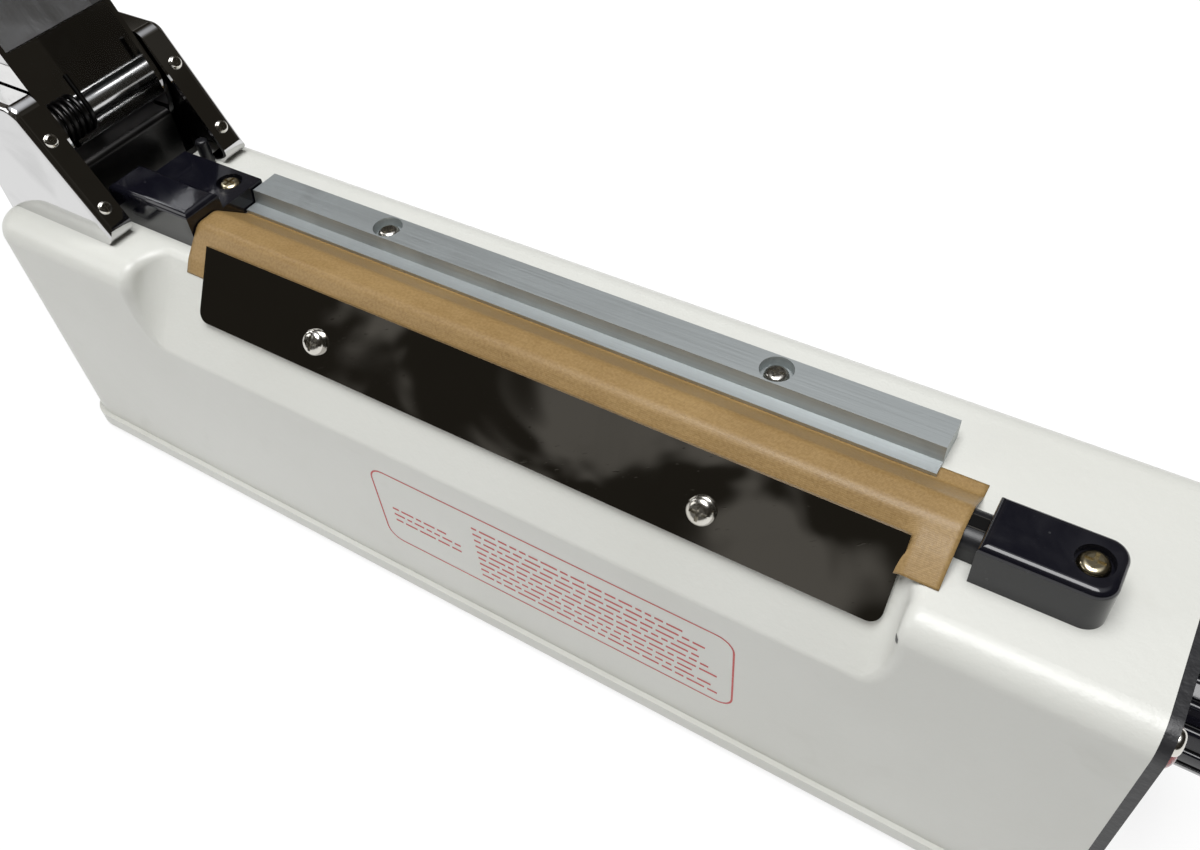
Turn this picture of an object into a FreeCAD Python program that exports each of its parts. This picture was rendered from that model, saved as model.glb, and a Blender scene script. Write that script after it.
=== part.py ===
import FreeCAD, Part
import math
import os

# Impulse heat sealer with its arm thrown back, in millimetres.
# +X runs along the seal to the right, +Y to the back, +Z up.
# The origin is under the middle of the housing, on the table.

# Housing
HOUSING_LENGTH = 345.0
HOUSING_DEPTH = 70.0
HOUSING_HEIGHT = 84.0
HOUSING_WALL = 2.5
TOP_EDGE_RADIUS = 7.0
UPRIGHT_EDGE_RADIUS = 9.0
RECESS_DROP = 26.0
RECESS_RUN = 16.0
RECESS_CORNER_RADIUS = 6.0
RECESS_LIP_RADIUS = 3.0
RECESS_LEFT_INSET = 62.5
RECESS_RIGHT_INSET = 50.5
BOSS_RADIUS = 4.0
BOSS_LENGTH = 12.0
BOSS_BITE = 1.0

# Base and feet
BASE_SHEET = 2.0
RIM_HEIGHT = 5.0
RIM_PROUD = 1.5
FOOT_DROP = 3.0
FOOT_RADIUS = 8.0
FOOT_END_INSET = 32.0
FOOT_SIDE_INSET = 13.0
BASE_SCREW_INSET = 12.5

# Right end plate and what it carries
END_PLATE_THICKNESS = 2.5
END_SCREW_LOW = 22.0
DIAL_RADIUS = 22.0
DIAL_THICKNESS = 0.8
DIAL_SETBACK = 39.0
DIAL_HEIGHT = 44.0
KNOB_RADIUS = 14.0
KNOB_LENGTH = 16.0
KNOB_GRIPS = 16
KNOB_GRIP_RADIUS = 1.2
KNOB_GAP = 0.6
SHAFT_RADIUS = 3.0
SHAFT_CLEARANCE = 0.05
BUSH_RADIUS = 4.5
BUSH_LENGTH = 5.0
POT_RADIUS = 8.5
POT_LENGTH = 10.0
NUT_WIDTH = 11.0
NUT_THICKNESS = 2.0
LAMP_RADIUS = 4.0
LAMP_LENGTH = 18.0
LAMP_SETBACK = 15.0
LAMP_HEIGHT = 62.0
LENS_RADIUS = 5.5
LENS_RISE = 4.0

# Rear sockets
INLET_INSET = 24.0
INLET_HEIGHT = 20.0
INLET_RADIUS = 6.0
INLET_BORE = 3.6
INLET_FLANGE = 8.5
INLET_FLANGE_THICKNESS = 2.0
FUSE_INSET = 52.0
FUSE_HEIGHT = 26.0
FUSE_RADIUS = 6.0
FUSE_FLANGE = 8.0
FUSE_FLANGE_THICKNESS = 2.0
FUSE_LENGTH = 26.0
FUSE_CAP_RADIUS = 5.5
FUSE_CAP_RISE = 5.0

# Hinge posts, bracket and pin
POST_BACK_INSET = 0.2
POST_LENGTH = 53.8
POST_HEIGHT = 40.0
POST_SLANT = 60.0
POST_WIDTH = 8.2
POST_WALL = 1.4
POST_CORNER_RADIUS = 5.0
POST_FOOT_RADIUS = 4.0
POST_TOE_FLANGE = 4.0
POST_EDGE_RADIUS = 2.0
POST_FRONT_ROOM = 17.4
POST_BACK_ROOM = 13.8
UPRIGHT_THICKNESS = 3.0
UPRIGHT_SETBACK = 0.5
FLANGE_DEPTH = 4.0
FLANGE_FOOT = 7.0
FLANGE_SIDE_GAP = 0.7
BRACKET_SHEET = 2.0
BRACKET_STOP_SHEET = 1.4
BRACKET_FRONT_INSET = 35.5
CROSS_HEIGHT = 17.5
CROSS_FLANGE = 9.0
CROSS_SIDE_GAP = 0.8
BRACKET_SCREW_FRONT = 15.0
BRACKET_SCREW_PITCH = 12.0
BRACKET_SCREW_SPAN = 22.0
POST_SCREW_LOW = 10.5
POST_SCREW_HIGH = 29.7
PIVOT_INSET = 19.5
PIVOT_HEIGHT = 22.6
PIN_RADIUS = 4.0
PIN_CLEARANCE = 0.05
PIN_OVERHANG = 1.8
CLIP_RADIUS = 6.5
CLIP_THICKNESS = 1.0

# Return spring
SPRING_WIRE = 1.6
SPRING_RADIUS = 5.6
SPRING_TURNS = 6
SPRING_PITCH = 2.1
SPRING_WALL_GAP = 2.6
SPRING_FIXED_ANGLE = 20.0
SPRING_MOVING_TILT = 9.0
SPRING_MOVING_LEG = 10.0

# Arm, drawn closed and then thrown back
OPEN_ANGLE = 116.0
ARM_SHEET = 1.6
ARM_SIDE_GAP = 0.6
ARM_DROP = 16.1
ARM_RISE = 9.6
ARM_TAIL = 3.4
ARM_END_INSET = 52.5
ARM_END_RADIUS = 8.0
STOP_GAP = 0.3
CARRIER_SHEET = 2.0
CARRIER_LEG = 8.0
CARRIER_UNDERSIDE = 14.5
CARRIER_START = 23.0
CARRIER_END_GAP = 6.0
CARRIER_SCREW_HEIGHT = 4.5
CARRIER_SCREW_INSET = 50.0
PRESS_BAR_WIDTH = 10.0
PRESS_BAR_END_GAP = 3.0
RUBBER_WIDTH = 8.0
RUBBER_THICKNESS = 2.6
RUBBER_GAP = 0.3
PRESS_SCREWS = 4
PRESS_SCREW_INSET = 18.0
GRIP_LENGTH = 60.0
GRIP_WIDTH = 28.0
GRIP_UNDERSIDE = 17.0
GRIP_TOP = 37.0
GRIP_RADIUS = 6.0
TONGUE_LENGTH = 48.0
TONGUE_HEIGHT = 11.0
TONGUE_SIDE_GAP = 4.2
GRIP_SCREW_PITCH = 24.0

# Seal bed
BLOCK_HEIGHT = 12.0
LEFT_BLOCK_INSET = 41.5
LEFT_BLOCK_LENGTH = 33.0
LEFT_BLOCK_SETBACK = 20.4
LEFT_BLOCK_STEP_DEPTH = 12.6
LEFT_BLOCK_DEPTH = 28.6
LEFT_FLANGE_HEIGHT = 6.5
LEFT_SCREW_INSET = 25.0
LEFT_SCREW_BACK_INSET = 5.5
BLOCK_ROD_GAP = 0.6
RIGHT_BLOCK_INSET = 15.5
RIGHT_BLOCK_LENGTH = 26.5
RIGHT_BLOCK_SETBACK = 17.0
RIGHT_BLOCK_DEPTH = 15.4
RIGHT_BLOCK_RADIUS = 4.5
RIGHT_SCREW_INSET = 6.0
BLOCK_EDGE_RADIUS = 1.8
BLOCK_SCREW_SINK = 2.0
BLOCK_WELL_RADIUS = 4.0
BAR_SETBACK = 26.7
BAR_WIDTH = 10.6
BAR_HEIGHT = 7.1
BAR_RADIUS = 3.4
TAPE_WIDTH = 4.2
TAPE_THICKNESS = 0.15
RIBBON_WIDTH = 3.0
RIBBON_THICKNESS = 0.2
CLOTH_THICKNESS = 0.25
CLOTH_LIFT = 0.05
CLOTH_LEFT_GAP = 0.4
CLOTH_RIGHT_GAP = 4.0
CLOTH_FRONT_REACH = 4.2
CLOTH_GUARD_GAP = 0.3
STRIP_LEFT_GAP = 0.5
STRIP_RIGHT_GAP = 15.0
STRIP_HEIGHT = 5.5
STRIP_SETBACK = 40.0
STRIP_BEND_GAP = 0.5
STRIP_FLAT_WIDTH = 9.4
STRIP_LIP_WIDTH = 4.6
STRIP_LIP_THICKNESS = 1.0
STRIP_TUCK = 3.6
STRIP_STEP_LEAN = 0.6
STRIP_SCREW_LEFT = 49.0
STRIP_SCREW_RIGHT = 43.5
STRIP_WELL_RADIUS = 4.3
STRIP_WELL_DEPTH = 3.0
GUARD_THICKNESS = 1.2
GUARD_LEFT_GAP = 8.5
GUARD_RIGHT_GAP = 13.0
GUARD_ABOVE = 6.2
GUARD_BELOW = 15.9
GUARD_CORNER_RADIUS = 3.2
GUARD_SCREW_DROP = 7.5
GUARD_SCREW_LEFT = 44.0
GUARD_SCREW_RIGHT = 45.0

# Micro switch and its push rod
ROD_FRONT_INSET = 44.5
ROD_ARM_INSET = 1.8
ROD_RADIUS = 2.0
ROD_CLEARANCE = 0.08
ROD_TRAVEL = 2.5
ROD_CLOSED_GAP = 0.3
ROD_COLLAR_RADIUS = 2.9
ROD_COLLAR_THICKNESS = 2.0
ROD_COLLAR_GAP = 0.3
ROD_TAIL = 3.0
SWITCH_LENGTH = 20.0
SWITCH_WIDTH = 6.4
SWITCH_HEIGHT = 10.0
SWITCH_BUTTON_RADIUS = 1.2
SWITCH_BUTTON_RISE = 1.6
SWITCH_GAP = 0.3
SWITCH_SHEET = 1.5
SWITCH_FLANGE = 5.5

# Transformer
CORE_LENGTH = 70.0
CORE_HEIGHT = 58.0
CORE_STACK = 36.0
CORE_YOKE = 11.5
CORE_WINDOW = 12.0
COIL_OVERHANG = 9.0
COIL_RADIUS = 4.0
STRAP_SHEET = 1.5
STRAP_FOOT = 12.0
TRANSFORMER_X = -60.0

# Timer board
BOARD_LENGTH = 80.0
BOARD_WIDTH = 48.0
BOARD_THICKNESS = 1.6
BOARD_X = 80.0
BOARD_INSET = 5.0
STANDOFF_HEIGHT = 8.0
STANDOFF_RADIUS = 3.0
RELAY_SIZE = (19.0, 15.0, 15.5)
RELAY_OFFSET = (-22.0, 8.0)
CAPACITOR_RADIUS = 6.5
CAPACITOR_HEIGHT = 22.0
CAPACITOR_OFFSET = (8.0, -10.0)

# Screws: shank radius, head radius, head height
SMALL_SCREW = (1.5, 2.9, 1.8)
PLATE_SCREW = (2.0, 3.6, 2.4)
BLOCK_SCREW = (1.75, 3.3, 2.0)
STRIP_SCREW = (1.75, 3.2, 2.2)
POST_SCREW = (1.25, 2.0, 1.2)
SCREW_GRIP = 8.0
SCREW_CLEARANCE = 0.1
CROSS_WIDTH = 0.24
CROSS_REACH = 0.62
CROSS_DEPTH = 0.55
PAN_ROUND = 0.8
OVERCUT = 5.0

# Places that follow from the sizes
X_LEFT = -HOUSING_LENGTH / 2
X_RIGHT = HOUSING_LENGTH / 2
Y_FRONT = -HOUSING_DEPTH / 2
Y_BACK = HOUSING_DEPTH / 2
BASE_TOP = FOOT_DROP + RIM_HEIGHT
TOP = BASE_TOP + HOUSING_HEIGHT
X_END = X_RIGHT + END_PLATE_THICKNESS
RECESS_TOP_Y = Y_FRONT + RECESS_RUN
SLOPE_LENGTH = math.hypot(RECESS_RUN, RECESS_DROP)
PIVOT_X = X_LEFT + PIVOT_INSET
PIVOT_Z = TOP + PIVOT_HEIGHT
POST_BACK = X_LEFT + POST_BACK_INSET
POST_FOOT = POST_BACK + POST_LENGTH
POST_NEAR = Y_FRONT + POST_FRONT_ROOM
POST_FAR = Y_BACK - POST_BACK_ROOM
POST_GAP = POST_FAR - POST_NEAR
HINGE_Y = (POST_NEAR + POST_FAR) / 2
ARM_NEAR = POST_NEAR + ARM_SIDE_GAP
ARM_FAR = POST_FAR - ARM_SIDE_GAP
ARM_END = X_RIGHT - ARM_END_INSET
TONGUE_WIDTH = ARM_FAR - ARM_NEAR - 2 * (ARM_SHEET + TONGUE_SIDE_GAP)
SPRING_Y = ARM_NEAR + ARM_SHEET + SPRING_WALL_GAP
ARM_EDGE = PIVOT_Z - ARM_DROP
WEB_UNDER = PIVOT_Z + ARM_RISE
WEB_TOP = WEB_UNDER + ARM_SHEET
LEFT_BLOCK_X = X_LEFT + LEFT_BLOCK_INSET
LEFT_BLOCK_FRONT = Y_FRONT + LEFT_BLOCK_SETBACK
LEFT_BLOCK_STEP = LEFT_BLOCK_FRONT + LEFT_BLOCK_STEP_DEPTH
LEFT_BLOCK_BACK = LEFT_BLOCK_FRONT + LEFT_BLOCK_DEPTH
LEFT_SCREW_Y = LEFT_BLOCK_BACK - LEFT_SCREW_BACK_INSET
BAR_LEFT = LEFT_BLOCK_X + LEFT_BLOCK_LENGTH
RIGHT_BLOCK_END = X_RIGHT - RIGHT_BLOCK_INSET
RIGHT_BLOCK_FRONT = Y_FRONT + RIGHT_BLOCK_SETBACK
RIGHT_BLOCK_BACK = RIGHT_BLOCK_FRONT + RIGHT_BLOCK_DEPTH
BAR_RIGHT = RIGHT_BLOCK_END - RIGHT_BLOCK_LENGTH
BAR_Y = Y_FRONT + BAR_SETBACK
BAR_TOP = TOP + BAR_HEIGHT
RIBBON_TOP = BAR_TOP + TAPE_THICKNESS + RIBBON_THICKNESS
CLOTH_TOP = RIBBON_TOP + CLOTH_LIFT + CLOTH_THICKNESS
STRIP_LIP = Y_FRONT + STRIP_SETBACK
STRIP_STEP = STRIP_LIP + STRIP_LIP_WIDTH
STRIP_BACK = STRIP_STEP + STRIP_FLAT_WIDTH
ROD_X = X_LEFT + ROD_FRONT_INSET
ROD_Y = ARM_FAR - ROD_ARM_INSET
INNER_TOP = TOP - HOUSING_WALL
UP = FreeCAD.Vector(0, 0, 1)
RIGHT = FreeCAD.Vector(1, 0, 0)
BACK = FreeCAD.Vector(0, 1, 0)
SLOPE_OUT = FreeCAD.Vector(0, -RECESS_DROP / SLOPE_LENGTH, RECESS_RUN / SLOPE_LENGTH)
SLOPE_DOWN = FreeCAD.Vector(0, -RECESS_RUN / SLOPE_LENGTH, -RECESS_DROP / SLOPE_LENGTH)
SLANT = math.radians(POST_SLANT)
POST_OUT = FreeCAD.Vector(math.sin(SLANT), 0, math.cos(SLANT))


def vec(x, y, z):
    return FreeCAD.Vector(x, y, z)


def block(x0, x1, y0, y1, z0, z1):
    return Part.makeBox(x1 - x0, y1 - y0, z1 - z0, vec(x0, y0, z0))


def rod(point, direction, radius, length):
    return Part.makeCylinder(radius, length, point, direction)


def tube(point, direction, outer, inner, length):
    return rod(point, direction, outer, length).cut(rod(point, direction, inner, length))


def prism(points, sweep):
    """Extrudes the closed polygon through the points along the sweep vector."""
    face = Part.Face(Part.makePolygon(list(points) + [points[0]]))
    return face.extrude(sweep)


def edges_that(shape, test):
    return [edge for edge in shape.Edges if test(edge)]


def lies_along(edge, axis):
    """True where the edge is a straight line parallel to the axis."""
    if not isinstance(edge.Curve, (Part.Line, Part.LineSegment)):
        return False
    ends = edge.Vertexes
    run = ends[-1].Point.sub(ends[0].Point)
    return run.cross(axis).Length < 1e-6 * run.Length


def fused(shapes):
    whole = shapes[0].fuse(shapes[1:])
    return whole.removeSplitter()


def facing(direction, point):
    return FreeCAD.Placement(point, FreeCAD.Rotation(UP, direction))


def cross_recess(head_radius, top, depth):
    """Two crossing slots, sunk from the given top height along the screw's axis."""
    reach = CROSS_REACH * head_radius
    half = CROSS_WIDTH * head_radius / 2
    along = block(-reach, reach, -half, half, top - depth, top + depth)
    across = block(-half, half, -reach, reach, top - depth, top + depth)
    return along.fuse(across)


def pan_screw(size, point, direction, length=SCREW_GRIP):
    """A pan-head screw whose head sits on the point, pointing out along the direction."""
    shank, head, height = size
    cap = Part.makeCylinder(head, height)
    rim = edges_that(cap, lambda e: e.BoundBox.ZMin > height / 2)
    cap = cap.makeFillet(PAN_ROUND * height, rim)
    cap = cap.cut(cross_recess(head, height, CROSS_DEPTH * height))
    screw = cap.fuse(Part.makeCylinder(shank, length, vec(0, 0, -length))).removeSplitter()
    screw.Placement = facing(direction, point)
    return screw


def shank_hole(size, point, direction, length=SCREW_GRIP):
    """The hole that a screw's shank needs, open past the surface."""
    radius = size[0] + SCREW_CLEARANCE
    hole = Part.makeCylinder(radius, length + OVERCUT, vec(0, 0, -length))
    hole.Placement = facing(direction, point)
    return hole


# Places of the fasteners, shared by the screws and the holes they need

def bracket_screw_places():
    front = X_LEFT + BRACKET_FRONT_INSET - BRACKET_SCREW_FRONT
    return [vec(x, HINGE_Y + side * BRACKET_SCREW_SPAN / 2, TOP + BRACKET_SHEET)
            for x in (front, front - BRACKET_SCREW_PITCH) for side in (-1, 1)]


def post_screw_places():
    middle = POST_GAP / 2 + POST_WIDTH / 2
    return [vec(POST_FOOT - height / math.tan(SLANT), HINGE_Y + side * middle, TOP + height)
            for side in (-1, 1) for height in (POST_SCREW_LOW, POST_SCREW_HIGH)]


def block_screw_places():
    left = vec(LEFT_BLOCK_X + LEFT_SCREW_INSET, LEFT_SCREW_Y, TOP + LEFT_FLANGE_HEIGHT - BLOCK_SCREW_SINK)
    right_y = (RIGHT_BLOCK_FRONT + RIGHT_BLOCK_BACK) / 2
    right = vec(RIGHT_BLOCK_END - RIGHT_SCREW_INSET, right_y, TOP + BLOCK_HEIGHT - BLOCK_SCREW_SINK)
    return [left, right]


def strip_screw_places():
    y = STRIP_BACK - STRIP_FLAT_WIDTH / 2
    return [vec(x, y, TOP + STRIP_HEIGHT - STRIP_WELL_DEPTH)
            for x in (BAR_LEFT + STRIP_SCREW_LEFT, BAR_RIGHT - STRIP_RIGHT_GAP - STRIP_SCREW_RIGHT)]


def on_slope(x, down, out):
    """A point on the sloped recess, down it from its top edge and out from its face."""
    return vec(x, RECESS_TOP_Y, TOP) + SLOPE_DOWN * down + SLOPE_OUT * out


def guard_screw_places():
    left = BAR_LEFT + GUARD_LEFT_GAP + GUARD_SCREW_LEFT
    right = BAR_RIGHT - GUARD_RIGHT_GAP - GUARD_SCREW_RIGHT
    out = CLOTH_THICKNESS + 2 * CLOTH_LIFT + GUARD_THICKNESS
    return [on_slope(x, GUARD_SCREW_DROP, out) for x in (left, right)]


def base_screw_places():
    half_depth = HOUSING_DEPTH / 2 - HOUSING_WALL - BOSS_RADIUS + BOSS_BITE
    half_length = HOUSING_LENGTH / 2 - BASE_SCREW_INSET
    return [vec(sx * half_length, sy * half_depth, BASE_TOP - BASE_SHEET) for sx in (-1, 1) for sy in (-1, 1)]


def end_screw_places():
    half_depth = HOUSING_DEPTH / 2 - HOUSING_WALL - BOSS_RADIUS + BOSS_BITE
    heights = (BASE_TOP + END_SCREW_LOW, INNER_TOP - BOSS_RADIUS + BOSS_BITE)
    return [vec(X_END, side * half_depth, height) for side in (-1, 1) for height in heights]


def foot_places():
    half_length = HOUSING_LENGTH / 2 - FOOT_END_INSET
    half_depth = HOUSING_DEPTH / 2 - FOOT_SIDE_INSET
    return [vec(sx * half_length, sy * half_depth, 0) for sx in (-1, 1) for sy in (-1, 1)]


def strap_screw_places():
    reach = CORE_LENGTH / 2 + STRAP_SHEET + STRAP_FOOT / 2
    return [vec(TRANSFORMER_X + side * reach, 0, BASE_TOP + STRAP_SHEET) for side in (-1, 1)]


def standoff_places():
    half_length = BOARD_LENGTH / 2 - BOARD_INSET
    half_width = BOARD_WIDTH / 2 - BOARD_INSET
    return [vec(BOARD_X + sx * half_length, sy * half_width, BASE_TOP) for sx in (-1, 1) for sy in (-1, 1)]


# Housing, base and ends

def recess_cutter(shift, widen):
    """The wedge taken off the front top edge, its face moved in by the shift."""
    over = OVERCUT / SLOPE_LENGTH
    top = on_slope(0, 0, -shift) - SLOPE_DOWN * (SLOPE_LENGTH * over + shift)
    low = on_slope(0, SLOPE_LENGTH, -shift) + SLOPE_DOWN * (SLOPE_LENGTH * over + shift)
    front = Y_FRONT - OVERCUT - RECESS_RUN
    x0 = X_LEFT + RECESS_LEFT_INSET - widen
    x1 = X_RIGHT - RECESS_RIGHT_INSET + widen
    outline = [vec(x0, top.y, top.z), vec(x0, low.y, low.z), vec(x0, front, low.z), vec(x0, front, top.z)]
    wedge = prism(outline, vec(x1 - x0, 0, 0))
    corners = edges_that(wedge, lambda e: lies_along(e, SLOPE_DOWN))
    return wedge.makeFillet(RECESS_CORNER_RADIUS + widen, corners)


def housing_solid(inset):
    """The housing's filled shape, drawn in by the inset, with square right end."""
    right = X_RIGHT + (OVERCUT if inset else 0)
    low = BASE_TOP - (OVERCUT if inset else 0)
    solid = block(X_LEFT + inset, right, Y_FRONT + inset, Y_BACK - inset, low, TOP - inset)
    uprights = edges_that(solid, lambda e: lies_along(e, UP) and e.BoundBox.XMax < 0)
    solid = solid.makeFillet(UPRIGHT_EDGE_RADIUS - inset, uprights)
    long_tops = edges_that(solid, lambda e: lies_along(e, RIGHT) and e.BoundBox.ZMin > BASE_TOP)
    solid = solid.makeFillet(TOP_EDGE_RADIUS - inset, long_tops)
    return solid


def housing_bosses():
    bosses = []
    for place in base_screw_places():
        bosses.append(rod(vec(place.x, place.y, BASE_TOP), UP, BOSS_RADIUS, BOSS_LENGTH))
    for place in end_screw_places():
        bosses.append(rod(vec(X_RIGHT - BOSS_LENGTH, place.y, place.z), RIGHT, BOSS_RADIUS, BOSS_LENGTH))
    return bosses


def edges_on_both(shape, first, second):
    """The shape's edges that lie on the skins of both of the other shapes."""
    found = []
    for edge in shape.Edges:
        middle = Part.Vertex(edge.valueAt((edge.FirstParameter + edge.LastParameter) / 2))
        if all(middle.distToShape(skin.Shells[0])[0] < 1e-4 for skin in (first, second)):
            found.append(edge)
    return found


def recessed_solid():
    """The filled housing with its sloped recess, the recess's edges softened."""
    whole = housing_solid(0.0)
    cutter = recess_cutter(0.0, 0.0)
    solid = whole.cut(cutter)
    return solid.makeFillet(RECESS_LIP_RADIUS, edges_on_both(solid, whole, cutter))


def housing():
    outer = recessed_solid()
    inner = housing_solid(HOUSING_WALL).cut(recess_cutter(HOUSING_WALL, HOUSING_WALL))
    shell = outer.cut(inner)
    bosses = [boss.common(outer) for boss in housing_bosses()]
    shell = fused([shell] + bosses)
    holes = [shank_hole(SMALL_SCREW, p, UP) for p in bracket_screw_places()]
    holes += [shank_hole(BLOCK_SCREW, p, UP, SCREW_GRIP + BLOCK_HEIGHT) for p in block_screw_places()]
    holes += [shank_hole(STRIP_SCREW, p, UP, SCREW_GRIP + STRIP_HEIGHT) for p in strip_screw_places()]
    holes += [shank_hole(PLATE_SCREW, p, SLOPE_OUT) for p in guard_screw_places()]
    holes += [rod(p - UP * OVERCUT, UP, SMALL_SCREW[0] + SCREW_CLEARANCE, OVERCUT + SCREW_GRIP)
              for p in base_screw_places()]
    holes += [shank_hole(SMALL_SCREW, p, RIGHT) for p in end_screw_places()]
    holes.append(rod(vec(ROD_X, ROD_Y, INNER_TOP - OVERCUT), UP, ROD_RADIUS + ROD_CLEARANCE, 3 * OVERCUT))
    holes.append(rod(inlet_place() - BACK * OVERCUT, BACK, INLET_RADIUS + SCREW_CLEARANCE, 2 * OVERCUT))
    holes.append(rod(fuse_place() - BACK * OVERCUT, BACK, FUSE_RADIUS + SCREW_CLEARANCE, 2 * OVERCUT))
    return shell.cut(holes)


def base_plate():
    """A shallow tray turned upside down, standing proud of the housing all round."""
    def slab(inset, z0, z1):
        x0 = X_LEFT - RIM_PROUD + inset
        x1 = X_END + RIM_PROUD - inset
        solid = block(x0, x1, Y_FRONT - RIM_PROUD + inset, Y_BACK + RIM_PROUD - inset, z0, z1)
        radius = UPRIGHT_EDGE_RADIUS + RIM_PROUD - inset
        uprights = edges_that(solid, lambda e: lies_along(e, UP) and e.BoundBox.XMax < 0)
        return solid.makeFillet(radius, uprights)
    tray = slab(0.0, FOOT_DROP, BASE_TOP).cut(slab(BASE_SHEET, FOOT_DROP - OVERCUT, BASE_TOP - BASE_SHEET))
    hole_radius = SMALL_SCREW[0] + SCREW_CLEARANCE
    holes = [rod(p - UP * OVERCUT, UP, hole_radius, 2 * OVERCUT) for p in base_screw_places()]
    holes += [rod(p, UP, hole_radius, BASE_TOP + OVERCUT) for p in foot_places()]
    holes += [shank_hole(SMALL_SCREW, p, UP) for p in strap_screw_places()]
    return tray.cut(holes)


def base_screws():
    return Part.makeCompound([pan_screw(SMALL_SCREW, p, -UP) for p in base_screw_places()])


def rubber_feet():
    feet = []
    for place in foot_places():
        foot = rod(place, UP, FOOT_RADIUS, BASE_TOP - BASE_SHEET)
        well = rod(place, UP, SMALL_SCREW[1] + SCREW_CLEARANCE, FOOT_DROP)
        hole = rod(place, UP, SMALL_SCREW[0] + SCREW_CLEARANCE, BASE_TOP)
        feet.append(foot.cut([well, hole]))
    return Part.makeCompound(feet)


def feet_screws():
    return Part.makeCompound([pan_screw(SMALL_SCREW, p + UP * FOOT_DROP, -UP, RIM_HEIGHT + 1)
                              for p in foot_places()])


def end_plate():
    section = housing_solid(0.0)
    slab = section.common(block(X_RIGHT - 1, X_RIGHT, Y_FRONT, Y_BACK, BASE_TOP, TOP))
    profile = [f for f in slab.Faces if abs(f.CenterOfMass.x - X_RIGHT) < 1e-6][0]
    plate = profile.extrude(RIGHT * END_PLATE_THICKNESS)
    holes = [shank_hole(SMALL_SCREW, p, RIGHT) for p in end_screw_places()]
    holes.append(rod(dial_place() - RIGHT * OVERCUT, RIGHT, BUSH_RADIUS + SCREW_CLEARANCE, 2 * OVERCUT))
    holes.append(rod(lamp_place() - RIGHT * OVERCUT, RIGHT, LAMP_RADIUS + SCREW_CLEARANCE, 2 * OVERCUT))
    return plate.cut(holes)


def end_plate_screws():
    return Part.makeCompound([pan_screw(SMALL_SCREW, p, RIGHT) for p in end_screw_places()])


# Timer, lamp, fuse and inlet

def dial_place():
    return vec(X_END, Y_FRONT + DIAL_SETBACK, BASE_TOP + DIAL_HEIGHT)


def lamp_place():
    return vec(X_END, Y_FRONT + LAMP_SETBACK, BASE_TOP + LAMP_HEIGHT)


def inlet_place():
    return vec(X_RIGHT - INLET_INSET, Y_BACK, BASE_TOP + INLET_HEIGHT)


def fuse_place():
    return vec(X_RIGHT - FUSE_INSET, Y_BACK, BASE_TOP + FUSE_HEIGHT)


def dial_plate():
    return tube(dial_place(), RIGHT, DIAL_RADIUS, BUSH_RADIUS + SCREW_CLEARANCE, DIAL_THICKNESS)


def potentiometer():
    """The pot's can behind the end plate and its bush through it."""
    place = dial_place()
    back = place - RIGHT * (END_PLATE_THICKNESS + POT_LENGTH)
    can = rod(back, RIGHT, POT_RADIUS, POT_LENGTH)
    bush = rod(place - RIGHT * END_PLATE_THICKNESS, RIGHT, BUSH_RADIUS, END_PLATE_THICKNESS + BUSH_LENGTH)
    bore = rod(place - RIGHT * (END_PLATE_THICKNESS + POT_LENGTH / 2), RIGHT, SHAFT_RADIUS + SHAFT_CLEARANCE,
               2 * (END_PLATE_THICKNESS + POT_LENGTH + BUSH_LENGTH))
    return can.fuse(bush).removeSplitter().cut(bore)


def pot_nut():
    place = dial_place() + RIGHT * DIAL_THICKNESS
    radius = NUT_WIDTH / 2 / math.cos(math.radians(30))
    turns = [math.radians(60 * k) for k in range(6)]
    corners = [place + vec(0, radius * math.cos(turn), radius * math.sin(turn)) for turn in turns]
    nut = prism(corners, RIGHT * NUT_THICKNESS)
    return nut.cut(rod(place, RIGHT, BUSH_RADIUS, NUT_THICKNESS))


def knob_base():
    return dial_place() + RIGHT * (DIAL_THICKNESS + KNOB_GAP)


def pot_shaft():
    start = dial_place() - RIGHT * (END_PLATE_THICKNESS + POT_LENGTH / 2 - KNOB_GAP)
    length = knob_base().x + KNOB_LENGTH / 2 - start.x
    return rod(start, RIGHT, SHAFT_RADIUS, length)


def timer_knob():
    """A round knob with grip grooves, hollow over the pot's nut, and a pointer groove."""
    base = knob_base()
    body = rod(base, RIGHT, KNOB_RADIUS, KNOB_LENGTH)
    rim = edges_that(body, lambda e: e.BoundBox.XMin > base.x + KNOB_LENGTH / 2)
    body = body.makeFillet(PAN_ROUND * KNOB_GRIP_RADIUS, rim)
    grooves = []
    for k in range(KNOB_GRIPS):
        turn = 2 * math.pi * (k + 0.5) / KNOB_GRIPS
        middle = base + vec(0, KNOB_RADIUS * math.cos(turn), KNOB_RADIUS * math.sin(turn))
        grooves.append(rod(middle + RIGHT * KNOB_GRIP_RADIUS, RIGHT, KNOB_GRIP_RADIUS, KNOB_LENGTH))
    nut_room = rod(base, RIGHT, NUT_WIDTH / 2 + 2, BUSH_LENGTH)
    bore = rod(base, RIGHT, SHAFT_RADIUS, KNOB_LENGTH / 2)
    pointer = block(base.x + KNOB_LENGTH - KNOB_GAP, base.x + KNOB_LENGTH + KNOB_GAP,
                    base.y - KNOB_GAP, base.y + KNOB_GAP, base.z + KNOB_RADIUS / 4, base.z + KNOB_RADIUS)
    return body.cut(grooves + [nut_room, bore, pointer])


def indicator_lamp():
    back = lamp_place() - RIGHT * LAMP_LENGTH
    return rod(back, RIGHT, LAMP_RADIUS, LAMP_LENGTH)


def lamp_lens():
    lens = rod(lamp_place(), RIGHT, LENS_RADIUS, LENS_RISE)
    rim = edges_that(lens, lambda e: e.BoundBox.XMin > X_END + LENS_RISE / 2)
    return lens.makeFillet(PAN_ROUND * LENS_RISE, rim)


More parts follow.
